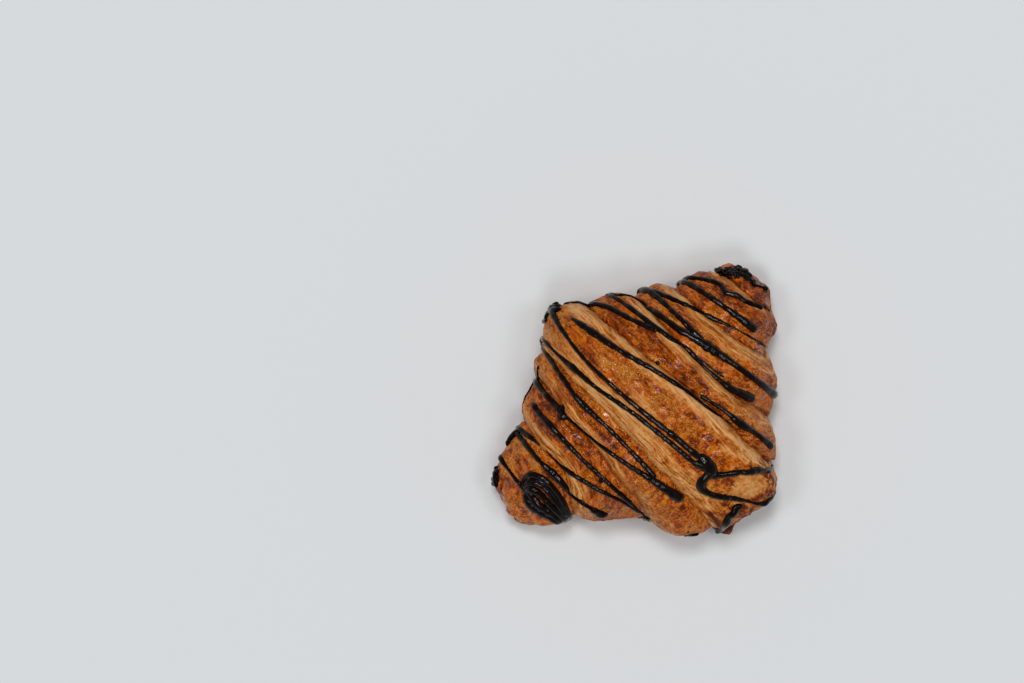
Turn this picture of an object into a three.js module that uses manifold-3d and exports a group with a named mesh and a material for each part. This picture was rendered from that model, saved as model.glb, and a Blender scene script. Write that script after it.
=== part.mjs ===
// A chocolate croissant: laminated dough rolled up into overlapping wraps that step down from the
// middle to two blunt ends, with thick dark chocolate drizzled to and fro across it.
// Millimetres, +X along the roll, +Y to its back, +Z up. It rests on its flat base at z = 0.
import * as THREE from "three";
import { mergeVertices } from "three/addons/utils/BufferGeometryUtils.js";
import Module from "manifold-3d";

// ---- driving dimensions ------------------------------------------------------------------------
const LEFT_END = -66; // the roll's two ends, measured from the point where the plan was laid out
const RIGHT_END = 63;
const END_BLUNTNESS = { left: 8, right: 13 }; // powers of the end caps: higher is blunter
const PLAN_CENTRE = { x: -1.5, y: -5.5 }; // middle of the finished outline, which becomes the origin
const TOP_SQUARENESS = 2.15; // powers of the cross-section's upper and lower halves
const BASE_SQUARENESS = 2.8;
const BASE_SINK = 1.3; // how far the underside would pass below the surface it is flattened against
const STEP_RISE = 1.9; // a wrap's edge stands this far out of the roll's mean surface
const STEP_DROP = 1.9; // and the wrap below dips this far in at its foot
const STEP_ROUNDING = 2.2; // power of the rounded slope up to a wrap's edge
const STEP_FALL = 1.5; // power of the long fall from there to the foot of the next edge
const END_FALL = 3; // and of the ends' fall to the foot of the first edge
const UNDERSIDE_RELIEF = 0.55; // share of the relief that is left where the roll lies on its base
const UNDERSIDE_ROOM = 6; // the reach downwards is at most this much more than the reach upwards

// The roll's mean surface at a run of stations: the y and height of its spine, the y of its outline
// at the back and at the front, and its reach upwards from the spine.
const STATIONS = [
  { x: -66, spine: 1.9, height: 12, back: 15.4, front: -11.6, up: 14 },
  { x: -60, spine: 1.9, height: 12.5, back: 18.4, front: -14.6, up: 15.6 },
  { x: -48.5, spine: 1.9, height: 14.5, back: 22.3, front: -18.2, up: 18.3 },
  { x: -37.5, spine: -0.8, height: 17, back: 25.6, front: -26.6, up: 22 },
  { x: -28, spine: -1.7, height: 19.3, back: 31, front: -35, up: 25.5 },
  { x: -26, spine: -1.9, height: 19.7, back: 32.2, front: -41.5, up: 26 },
  { x: -21.5, spine: -2.7, height: 20.6, back: 35.4, front: -47.4, up: 27.4 },
  { x: -12.5, spine: -4.6, height: 22, back: 42.8, front: -54, up: 29.5 },
  { x: -3, spine: -5, height: 23, back: 46, front: -55.2, up: 31 },
  { x: 3, spine: -6, height: 23, back: 42.6, front: -55.4, up: 31.2 },
  { x: 9.5, spine: -7, height: 23, back: 40.6, front: -57.2, up: 31 },
  { x: 16, spine: -7.6, height: 22.2, back: 36.4, front: -56.4, up: 30.2 },
  { x: 22.5, spine: -7.6, height: 21, back: 33.4, front: -50.5, up: 29 },
  { x: 27, spine: -6.8, height: 20, back: 31.4, front: -44.2, up: 27.6 },
  { x: 31, spine: -5.6, height: 19, back: 29, front: -38, up: 26.3 },
  { x: 36.5, spine: -4, height: 18, back: 24.8, front: -32.6, up: 24.5 },
  { x: 43, spine: -1.4, height: 16.5, back: 23.4, front: -25.6, up: 22.2 },
  { x: 47, spine: 0.6, height: 15.7, back: 22, front: -18.4, up: 21 },
  { x: 50.5, spine: 1.9, height: 15, back: 20.8, front: -16, up: 19.9 },
  { x: 59, spine: 3.6, height: 12.5, back: 20, front: -12.6, up: 18 },
  { x: 63, spine: 3.4, height: 11.5, back: 15.8, front: -9, up: 16 },
];

// Where each wrap's edge meets the wrap below it, at the back, over the crest and at the front, and
// the width in plan of the edge's slope. An edge on the left faces left, and one on the right right.
const EDGES = [
  { side: "left", back: -38.3, crest: -40.5, front: -47.5, slope: 4.5 },
  { side: "left", back: -24.5, crest: -24.8, front: -27.3, slope: 4 },
  { side: "left", back: -16, crest: -12.5, front: -11.5, slope: 9.5 },
  { side: "right", back: 7.5, crest: 15, front: 21, slope: 4 },
  { side: "right", back: 22.3, crest: 25, front: 31, slope: 3.5 },
  { side: "right", back: 36.6, crest: 40, front: 47.6, slope: 4.5 },
  { side: "right", back: 51.5, crest: 56, front: 59.5, slope: 3.5 },
];
const EDGE_BEND = 1.6; // power with which an edge turns away from its crest towards either side
const EDGE_WAVER = [0.5, 0.35]; // and how far it strays, three and five times round the roll
const SWELL = [0.45, 0.35, 0.25]; // slow unevenness of the baked dough

// Chocolate: each run is a route in plan of [x, y, width]. A route that leaves the outline runs on
// down the side of the roll, as those do that start at the back.
const DRIZZLE = [
  // the left end, with its puddle of loops
  [[-62, 11.5, 3.4], [-60, 14.3, 3.8], [-57.8, 17, 3]],
  [[-53.6, 18.8, 3], [-54.8, 13.5, 1.5], [-55, 6.8, 1.7], [-53.6, 2.6, 2.6]],
  [[-55.5, 1.5, 3.4], [-57.8, -2.2, 3.4], [-56, -7.5, 4.2], [-53.6, -12.4, 5.2], [-52, -16, 5.2]],
  [[-54.4, 4.5, 2.3], [-52, -0.8, 3.4], [-51, -6.8, 3.8], [-50.3, -14.2, 4.2]],
  [[-51.8, 7.5, 1.9], [-48.4, 4, 2.6], [-46.5, -2.3, 2.6], [-47.3, -9, 2.6], [-49.5, -15, 3]],
  [[-53.2, 5.3, 1.9], [-49.9, 3, 1.9], [-48.8, -3, 2.3], [-49, -10, 2.6]],
  // the first wrap from the left
  [[-50, 20, 3.8], [-46.5, 21, 3], [-43, 21.4, 2.6]],
  [
    [-43.5, 21.8, 2.3], [-43.9, 8.3, 1.9], [-43, -0.8, 3.4], [-43, -10, 1.5], [-41.6, -17, 3],
    [-39.8, -20.6, 3.8],
  ],
  [[-42.4, 28, 1.9], [-42, 23.3, 2.3], [-40.9, 18, 1.9], [-39.8, 12.4, 0.8]],
  [[-39.4, 9, 0.7], [-38.3, -0.8, 1.9], [-35.3, -11.3, 1.9], [-31, -21.8, 1.6], [-28.2, -31, 1.2]],
  [[-34, 28.5, 1], [-30, 30.8, 1.4], [-25.5, 31.5, 1.6]],
  [
    [-31.9, 25.5, 1.9], [-32.3, 18, 2.6], [-31.5, 0, 1.9], [-30.4, -10.5, 1.9], [-28.9, -22.5, 1.9],
    [-27.8, -34.5, 1.3],
  ],
  [[-31.9, -12.4, 1.9], [-30, -11.2, 1.5]],
  [[-29.6, -36.6, 1.5], [-27.4, -35.6, 1.9]],
  // the second wrap from the left
  [
    [-25.2, 37, 2.1], [-25.5, 31.8, 2.6], [-25.9, 23.3, 2.3], [-25.5, 17.3, 2.6],
    [-24.8, 10.5, 1.5], [-22.5, -3.8, 1.5], [-19.5, -15.8, 1.9], [-16.5, -25.5, 3],
    [-13.5, -36.4, 4.2],
  ],
  [[-27, 15.8, 3.2], [-24.8, 16.5, 2.6], [-22.9, 18, 1.5]],
  [
    [-15.4, 39, 1.9], [-17.3, 24.4, 1.9], [-18, 14.3, 2.5], [-16.5, 0, 1.7], [-15.4, -21, 1.9],
    [-15.8, -24, 1.9],
  ],
  // the middle wrap
  [[-14.6, 48.5, 2], [-13.4, 43.4, 3]],
  [
    [-13.1, 44, 2.3], [-12.8, 34.5, 1.3], [-11.6, 26.3, 2.6], [-10, 15, 1.9], [-6, -0.8, 1.9],
    [-3, -16.9, 1.9], [-0.8, -31.5, 1.9],
  ],
  [[-7.1, 46.5, 2.6], [-4.1, 48, 3.4], [-1.5, 45.8, 2.6]],
  [
    [-3.4, 53, 2.2], [-3.8, 47.6, 3], [-5.6, 39, 1.9], [-6.4, 24.4, 1.5], [-3.8, 1.9, 1.9],
    [-0.4, -15.8, 2.3], [1.5, -27.8, 2.3], [3, -33, 3],
  ],
  [[0.4, -32.3, 3.4], [3, -34, 3.4], [0.8, -37, 3.4]],
  [
    [0.8, -36.4, 3.4], [-2.6, -35.6, 3], [-5.3, -38.3, 3], [-3.4, -43, 2.6], [1.5, -49.5, 1.9],
    [6.8, -57, 1.5], [9.8, -59.6, 1.9], [14.6, -59.6, 1.9],
  ],
  [[1.1, -36.8, 3], [4.5, -40, 2.3], [10.5, -43.9, 2.4], [16, -47.6, 2.6], [19.3, -50.8, 1.4]],
  [
    [0, 40, 1.5], [1.9, 33, 2.8], [5.6, 19.5, 2.3], [10, 6.8, 2.1], [13.9, -6.8, 1.9],
    [16, -17.3, 1.5], [18.8, -27.8, 0.9],
  ],
  // the first wrap to its right
  [[17.3, -12.8, 1.5], [20.3, -23.3, 1.7], [21.3, -29.3, 3.2], [23.6, -36.8, 1.9], [24.8, -43.5, 3.6]],
  [[1.5, 46.5, 1.5], [6.8, 42, 1.9], [12.4, 35.6, 2.3], [16.5, 25.5, 2.1], [20.6, 16.9, 2.3]],
  [
    [16.9, 36.8, 1.9], [18.8, 30, 1.9], [21, 18.8, 2.1], [22.5, 11.3, 2.3], [24.8, 3, 2.3],
    [25.1, -5.3, 1.7], [27, -16.5, 2.6], [31, -25.9, 3.6],
  ],
  // the second wrap to the right
  [
    [15.6, 41.5, 1.5], [17.3, 36.8, 1.5], [21.8, 31.9, 1.5], [24.8, 22.5, 2.4], [27.4, 10.5, 2.6],
    [31, 0, 4.1], [34.1, -11.3, 2.4], [37, -23.3, 2.6], [39, -32.3, 3.2],
  ],
  [[25.4, 37.5, 2.2], [26.3, 32.6, 3.2], [28.9, 27.8, 3], [30, 17.3, 1.9], [31, 3, 2.6]],
  [[29.6, 28.5, 1.9], [34.5, 18, 2.1], [40, 5.3, 1.9], [43.5, -2.6, 0.8], [48, -15, 1.3]],
  // the right end
  [[39, 29.5, 2.1], [40, 24.8, 3], [42, 20.3, 2.3], [45.4, 7.5, 2.3], [48.8, -6.8, 3.2]],
  [
    [41.3, 24.8, 2.3], [46.9, 19, 2.3], [49.9, 13.5, 1.9], [49.5, 10, 2.1], [52, 6.4, 2.3],
    [52.9, 3, 2.1], [56.3, -2.3, 2.8],
  ],
  [
    [51, 23, 1.5], [52, 18, 1.9], [55.5, 14.3, 4.5], [58.5, 11.3, 5.2], [60.4, 6.8, 2.3],
    [61, -0.8, 1.1],
  ],
  [[55.5, 15.8, 3], [59.3, 12.8, 3.4], [60.4, 9.4, 3]],
  // the tongue at the front
  [[-11.3, -56.6, 2.1], [-6.4, -54.4, 2.3], [-2.3, -52.9, 2.4], [1.9, -53.6, 1.5]],
];
const CHOCOLATE_SIDES = 5;
const CHOCOLATE_STEP = 4.5; // along a run
const CHOCOLATE_DEPTH = 0.9; // of its width, half of it above the crust
const END_MARGIN = 0.8; // a run stays this far from the roll's two ends

const GROUND = [400, 400, 40]; // what the base is flattened against

// The loose end of the dough's tip, which sticks out at the foot of the front.
const TONGUE = { root: [-3, -43, 9.5], tip: [-6.6, -60.4, 3.4], width: 21, thickness: 7, taper: 0.62 };

const AROUND = 48; // facets round the roll
const ALONG = [0.12, 0.3, 0.62, 1]; // columns of facets in a wrap, from its edge inwards
const ALONG_MIDDLE = [0.06, 0.14, 0.3, 0.5, 0.7, 0.86, 0.95, 1]; // in the wrap with two edges
const ALONG_END = [0.03, 0.1, 0.24, 0.45, 0.7, 1]; // and in an end, from its tip inwards

// ---- the roll's surface ------------------------------------------------------------------------
const clamp = THREE.MathUtils.clamp;
const lerp = THREE.MathUtils.lerp;

// A smooth curve through the stations for one of their measures.
function station(x, measure) {
  const last = STATIONS.length - 2;
  let i = 0;
  while (i < last && x > STATIONS[i + 1].x) i += 1;
  const [a, b] = [STATIONS[i], STATIONS[i + 1]];
  const before = STATIONS[i - 1] ?? a;
  const after = STATIONS[i + 2] ?? b;
  const span = b.x - a.x;
  const t = clamp((x - a.x) / span, 0, 1);
  const slopeA = ((b[measure] - before[measure]) / (b.x - before.x)) * span;
  const slopeB = ((after[measure] - a[measure]) / (after.x - a.x)) * span;
  const [t2, t3] = [t * t, t * t * t];
  return (2 * t3 - 3 * t2 + 1) * a[measure] + (t3 - 2 * t2 + t) * slopeA +
    (3 * t2 - 2 * t3) * b[measure] + (t3 - t2) * slopeB;
}

// The x of an edge at an angle round the roll: 0 is the back, a quarter turn the crest.
function edgeAt(edge, angle) {
  const cosine = Math.cos(angle);
  const turned = (cosine > 0 ? edge.back : edge.front) - edge.crest;
  const phase = edge.crest;
  const waver = EDGE_WAVER[0] * Math.sin(3 * angle + phase) +
    EDGE_WAVER[1] * Math.sin(5 * angle + 2 * phase);
  return edge.crest + turned * Math.abs(cosine) ** EDGE_BEND + waver;
}

// How far the wraps stand out of the mean surface: a slope up from an edge's foot, then a long fall
// to the foot of the next edge. Feet are the x of the ends and of each edge at this angle.
function wrapRelief(x, feet, wrap) {
  const [from, to] = [feet[wrap], feet[wrap + 1]];
  const share = clamp((x - from) / (to - from), 0, 1);
  const height = STEP_RISE + STEP_DROP;
  const slopeUp = (distance, width) => 1 - (1 - clamp(distance / width, 0, 1)) ** STEP_ROUNDING;
  const left = EDGES[wrap - 1];
  const right = EDGES[wrap];
  if (!left) return -STEP_DROP * share ** END_FALL;
  if (!right) return -STEP_DROP * (1 - share) ** END_FALL;
  const fromLeft = left.side === "left" ? slopeUp(x - from, left.slope) : 1;
  const fromRight = right.side === "right" ? slopeUp(to - x, right.slope) : 1;
  let fall = 0;
  if (right.side === "left") fall = share ** STEP_FALL;
  if (left.side === "right") fall = (1 - share) ** STEP_FALL;
  return Math.min(fromLeft, fromRight) * height * (1 - fall) - STEP_DROP;
}

function swell(x, angle) {
  return SWELL[0] * Math.sin(0.19 * x + 2 * angle + 0.7) +
    SWELL[1] * Math.sin(0.33 * x - 3 * angle + 2.1) +
    SWELL[2] * Math.sin(0.11 * x + 5 * angle);
}

function feetAt(angle) {
  return [LEFT_END, ...EDGES.map((edge) => edgeAt(edge, angle)), RIGHT_END];
}

function surface(x, angle) {
  const feet = feetAt(angle);
  let wrap = 0;
  while (wrap < EDGES.length && x > feet[wrap + 1]) wrap += 1;
  return surfaceInWrap(x, angle, feet, wrap);
}

function surfaceInWrap(x, angle, feet, wrap) {
  const middle = (LEFT_END + RIGHT_END) / 2;
  const bluntness = x < middle ? END_BLUNTNESS.left : END_BLUNTNESS.right;
  const reach = clamp(Math.abs((x - middle) / (RIGHT_END - middle)), 0, 1);
  const cap = Math.sqrt(1 - reach ** bluntness);
  const [cosine, sine] = [Math.cos(angle), Math.sin(angle)];
  const [spine, height] = [station(x, "spine"), station(x, "height")];
  const side = Math.abs(station(x, cosine > 0 ? "back" : "front") - spine);
  const under = Math.min(height + BASE_SINK, station(x, "up") + UNDERSIDE_ROOM);
  const power = sine > 0 ? TOP_SQUARENESS : BASE_SQUARENESS;
  const vertical = sine > 0 ? station(x, "up") : under;
  const radius = (Math.abs(cosine / side) ** power +
    Math.abs(sine / vertical) ** power) ** (-1 / power);
  const strength = sine > 0 ? 1 : lerp(1, UNDERSIDE_RELIEF, -sine);
  const relief = (wrapRelief(x, feet, wrap) + swell(x, angle)) * strength;
  const out = (radius + relief) * cap;
  return new THREE.Vector3(x, spine + out * cosine, height + out * sine);
}

// ---- the dough ---------------------------------------------------------------------------------
// A sphere's grid, with its poles at the roll's ends and its rings laid along the wraps' edges.
function doughGeometry() {
  const columns = [];
  const wraps = EDGES.length + 1;
  for (let wrap = 0; wrap < wraps; wrap += 1) {
    const leftSide = wrap > 0 && EDGES[wrap - 1].side === "left";
    const rightSide = wrap < EDGES.length && EDGES[wrap].side === "right";
    let shares = leftSide ? ALONG : ALONG.slice(0, -1).map((s) => 1 - s).reverse().concat(1);
    if (leftSide && rightSide) shares = ALONG_MIDDLE;
    if (wrap === 0) shares = ALONG_END;
    if (wrap === wraps - 1) shares = ALONG_END.slice(0, -1).map((s) => 1 - s).reverse();
    shares.forEach((share) => columns.push({ wrap, share }));
  }
  const rings = columns.length + 1;
  const geometry = new THREE.SphereGeometry(1, AROUND, rings);
  const place = geometry.getAttribute("position");
  for (let ring = 0; ring <= rings; ring += 1) {
    for (let side = 0; side <= AROUND; side += 1) {
      const angle = (-(side % AROUND) / AROUND) * 2 * Math.PI;
      const feet = feetAt(angle);
      let point = surfaceInWrap(LEFT_END, angle, feet, 0);
      if (ring === rings) point = surfaceInWrap(RIGHT_END, angle, feet, wraps - 1);
      if (ring > 0 && ring < rings) {
        const { wrap, share } = columns[ring - 1];
        point = surfaceInWrap(lerp(feet[wrap], feet[wrap + 1], share), angle, feet, wrap);
      }
      place.setXYZ(ring * (AROUND + 1) + side, point.x, point.y, point.z);
    }
  }
  return geometry;
}

// ---- the chocolate -----------------------------------------------------------------------------
// The angle round the roll at which the surface lies at this y, seen from above. Past the outline,
// the angle runs on down the side by the distance that is left.
function angleAtPlan(x, y) {
  const spine = station(x, "spine");
  const edge = y > spine ? 0 : Math.PI;
  const turn = y > spine ? 1 : -1;
  const beyond = turn * (y - surface(x, edge).y);
  if (beyond > 0) return edge - (turn * beyond) / Math.abs(surface(x, edge).y - spine);
  let [low, high] = [0, Math.PI];
  for (let i = 0; i < 30; i += 1) {
    const middle = (low + high) / 2;
    if (surface(x, middle).y > y) low = middle;
    else high = middle;
  }
  return (low + high) / 2;
}

// The surface's direction there, taken over a small patch of it.
function outward(x, angle) {
  const [reach, turn] = [0.6, 0.03];
  const along = surface(x + reach, angle).sub(surface(x - reach, angle));
  const around = surface(x, angle + turn).sub(surface(x, angle - turn));
  return around.cross(along).normalize();
}

// One run: a capsule bent along its route on the crust, as wide as the route says.
function runGeometry(route) {
  const plan = new THREE.CatmullRomCurve3(route.map(([x, y, width]) => new THREE.Vector3(x, y, width)));
  const steps = Math.max(2, Math.round(plan.getLength() / CHOCOLATE_STEP));
  const stops = plan.getPoints(steps).map(({ x, y, z: width }) => {
    const inside = clamp(x, LEFT_END + END_MARGIN, RIGHT_END - END_MARGIN);
    const angle = angleAtPlan(inside, y);
    const normal = outward(inside, angle);
    return { point: surface(inside, angle), normal, width };
  });
  const geometry = new THREE.CapsuleGeometry(1, steps, 1, CHOCOLATE_SIDES, steps);
  const place = geometry.getAttribute("position");
  for (let i = 0; i < place.count; i += 1) {
    const [side, along, out] = [place.getX(i), place.getY(i) + steps / 2, place.getZ(i)];
    const stop = clamp(Math.round(along), 0, steps);
    const { point, normal, width } = stops[stop];
    const before = stops[Math.max(stop - 1, 0)].point;
    const after = stops[Math.min(stop + 1, steps)].point;
    const ahead = after.clone().sub(before).normalize();
    const across = ahead.clone().cross(normal).normalize();
    const up = across.clone().cross(ahead);
    const past = along - stop; // the rounded ends reach past the first and last stops
    const moved = point.clone()
      .addScaledVector(ahead, (past * width) / 2)
      .addScaledVector(across, (side * width) / 2)
      .addScaledVector(up, (out * width * CHOCOLATE_DEPTH) / 2);
    place.setXYZ(i, moved.x, moved.y, moved.z);
  }
  return geometry;
}

// ---- the tongue --------------------------------------------------------------------------------
// A flattened, tapering end of dough that points outwards and down, bent from a capsule of radius 1.
function tongueGeometry() {
  const root = new THREE.Vector3(...TONGUE.root);
  const tip = new THREE.Vector3(...TONGUE.tip);
  const axis = tip.clone().sub(root);
  const trunk = 4;
  const geometry = new THREE.CapsuleGeometry(1, trunk, 2, 10, trunk);
  const place = geometry.getAttribute("position");
  for (let i = 0; i < place.count; i += 1) {
    const share = (place.getY(i) + trunk / 2 + 1) / (trunk + 2);
    const taper = 1 - TONGUE.taper * share;
    const centre = root.clone().addScaledVector(axis, share);
    const x = centre.x + (place.getX(i) * TONGUE.width * taper) / 2;
    const z = centre.z + (place.getZ(i) * TONGUE.thickness * taper) / 2;
    place.setXYZ(i, x, centre.y, z);
  }
  return geometry;
}

// ---- joining -----------------------------------------------------------------------------------
const wasm = await Module();
wasm.setup();

function solid(geometry) {
  const bare = geometry.clone();
  bare.deleteAttribute("normal");
  bare.deleteAttribute("uv");
  const merged = mergeVertices(bare, 1e-4);
  const vertProperties = new Float32Array(merged.getAttribute("position").array);
  const triVerts = new Uint32Array(merged.index.array);
  const made = new wasm.Manifold(new wasm.Mesh({ numProp: 3, vertProperties, triVerts }));
  if (made.volume() > 0) return made;
  for (let i = 0; i < triVerts.length; i += 3) {
    [triVerts[i + 1], triVerts[i + 2]] = [triVerts[i + 2], triVerts[i + 1]];
  }
  return new wasm.Manifold(new wasm.Mesh({ numProp: 3, vertProperties, triVerts }));
}

function geometryOf(manifold) {
  const { numProp, numVert, vertProperties, triVerts } = manifold.getMesh();
  const place = new Float32Array(numVert * 3);
  for (let i = 0; i < numVert; i += 1) {
    place.set(vertProperties.subarray(i * numProp, i * numProp + 3), i * 3);
  }
  return new THREE.BufferGeometry()
    .setAttribute("position", new THREE.BufferAttribute(place, 3))
    .setIndex(new THREE.BufferAttribute(triVerts, 1));
}

let croissant = solid(doughGeometry()).add(solid(tongueGeometry()));
for (const route of DRIZZLE) croissant = croissant.add(solid(runGeometry(route)));
const below = new THREE.BoxGeometry(...GROUND).translate(0, 0, -GROUND[2] / 2);
croissant = croissant.subtract(solid(below));

const mesh = new THREE.Mesh(
  geometryOf(croissant).translate(-PLAN_CENTRE.x, -PLAN_CENTRE.y, 0),
  new THREE.MeshStandardMaterial({ color: 0xa8612a, roughness: 0.5, metalness: 0 }),
);
mesh.name = "croissant";
const croissantGroup = new THREE.Group();
croissantGroup.add(mesh);

export default croissantGroup;
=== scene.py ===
"""A chocolate croissant: laminated dough rolled into overlapping wraps, baked under egg wash, with dark
chocolate drizzled to and fro across it, on a pale table under soft light.

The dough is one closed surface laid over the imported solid, with its cut edges, blisters and torn
skin as real relief. The chocolate is one poured mesh that follows that surface.
"""

import collections
import functools
import math

import bpy
import numpy as np
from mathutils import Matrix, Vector

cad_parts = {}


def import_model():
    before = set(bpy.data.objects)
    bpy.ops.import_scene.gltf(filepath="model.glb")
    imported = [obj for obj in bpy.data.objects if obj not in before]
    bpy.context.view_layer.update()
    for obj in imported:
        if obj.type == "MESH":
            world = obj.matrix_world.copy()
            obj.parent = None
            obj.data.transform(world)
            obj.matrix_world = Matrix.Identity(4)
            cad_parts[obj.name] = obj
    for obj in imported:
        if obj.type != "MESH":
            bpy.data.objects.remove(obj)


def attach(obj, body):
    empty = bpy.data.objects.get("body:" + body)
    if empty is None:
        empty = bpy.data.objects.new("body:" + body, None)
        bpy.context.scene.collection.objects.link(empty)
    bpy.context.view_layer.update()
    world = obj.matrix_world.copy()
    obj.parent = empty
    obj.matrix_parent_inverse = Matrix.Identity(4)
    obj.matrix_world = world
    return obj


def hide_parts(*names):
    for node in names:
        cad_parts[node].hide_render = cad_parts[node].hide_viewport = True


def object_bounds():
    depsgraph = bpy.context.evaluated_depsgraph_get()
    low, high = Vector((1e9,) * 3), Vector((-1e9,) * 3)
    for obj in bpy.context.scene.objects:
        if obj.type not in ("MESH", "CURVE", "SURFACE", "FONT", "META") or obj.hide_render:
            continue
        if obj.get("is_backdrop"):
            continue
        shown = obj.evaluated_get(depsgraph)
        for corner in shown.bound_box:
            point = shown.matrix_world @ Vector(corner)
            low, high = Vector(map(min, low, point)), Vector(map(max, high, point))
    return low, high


MM = 0.001
FAR = 99.0

# ---- the roll, in millimetres, as the solid has it -------------------------------------------------
LEFT_END = -66.0
RIGHT_END = 63.0
MIDDLE = (LEFT_END + RIGHT_END) / 2
END_BLUNTNESS = {"left": 8, "right": 13}
PLAN_CENTRE = np.array([-1.5, -5.5, 0.0])
TOP_SQUARENESS = 2.15
BASE_SQUARENESS = 2.8
BASE_SINK = 1.3
STEP_RISE = 1.9
STEP_DROP = 1.9
STEP_ROUNDING = 2.2
STEP_FALL = 1.5
END_FALL = 3
UNDERSIDE_RELIEF = 0.55
UNDERSIDE_ROOM = 6
EDGE_BEND = 1.6
EDGE_WAVER = ((0.5, 3, 1), (0.35, 5, 2))  # size, waves round the roll, and start for each x of crest
# Slow waves over the dough: height, turn in a millimetre along it, waves round it, and start.
SWELL = ((0.45, 0.19, 2, 0.7), (0.35, 0.33, -3, 2.1), (0.25, 0.11, 5, 0.0))

# The roll's mean surface at stations along it: x, the y and height of the spine, the y of the outline
# at the back and at the front, and the reach upwards from the spine.
STATION_FIELDS = ("x", "spine", "height", "back", "front", "up")
STATIONS = (
    (-66, 1.9, 12, 15.4, -11.6, 14),
    (-60, 1.9, 12.5, 18.4, -14.6, 15.6),
    (-48.5, 1.9, 14.5, 22.3, -18.2, 18.3),
    (-37.5, -0.8, 17, 25.6, -26.6, 22),
    (-28, -1.7, 19.3, 31, -35, 25.5),
    (-26, -1.9, 19.7, 32.2, -41.5, 26),
    (-21.5, -2.7, 20.6, 35.4, -47.4, 27.4),
    (-12.5, -4.6, 22, 42.8, -54, 29.5),
    (-3, -5, 23, 46, -55.2, 31),
    (3, -6, 23, 42.6, -55.4, 31.2),
    (9.5, -7, 23, 40.6, -57.2, 31),
    (16, -7.6, 22.2, 36.4, -56.4, 30.2),
    (22.5, -7.6, 21, 33.4, -50.5, 29),
    (27, -6.8, 20, 31.4, -44.2, 27.6),
    (31, -5.6, 19, 29, -38, 26.3),
    (36.5, -4, 18, 24.8, -32.6, 24.5),
    (43, -1.4, 16.5, 23.4, -25.6, 22.2),
    (47, 0.6, 15.7, 22, -18.4, 21),
    (50.5, 1.9, 15, 20.8, -16, 19.9),
    (59, 3.6, 12.5, 20, -12.6, 18),
    (63, 3.4, 11.5, 15.8, -9, 16),
)
STATION = {name: np.array(column, float) for name, column in zip(STATION_FIELDS, zip(*STATIONS))}

# Each wrap's edge: the side that it faces, its x at the back, crest and front, and its slope's width.
Edge = collections.namedtuple("Edge", "faces back crest front width")
EDGES = (
    Edge("left", -38.3, -40.5, -47.5, 4.5),
    Edge("left", -24.5, -24.8, -27.3, 4),
    Edge("left", -16, -12.5, -11.5, 9.5),
    Edge("right", 7.5, 15, 21, 4),
    Edge("right", 22.3, 25, 31, 3.5),
    Edge("right", 36.6, 40, 47.6, 4.5),
    Edge("right", 51.5, 56, 59.5, 3.5),
)
RIGHT_WRAPS = 4  # wraps from this number on have their foot at their right

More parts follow.
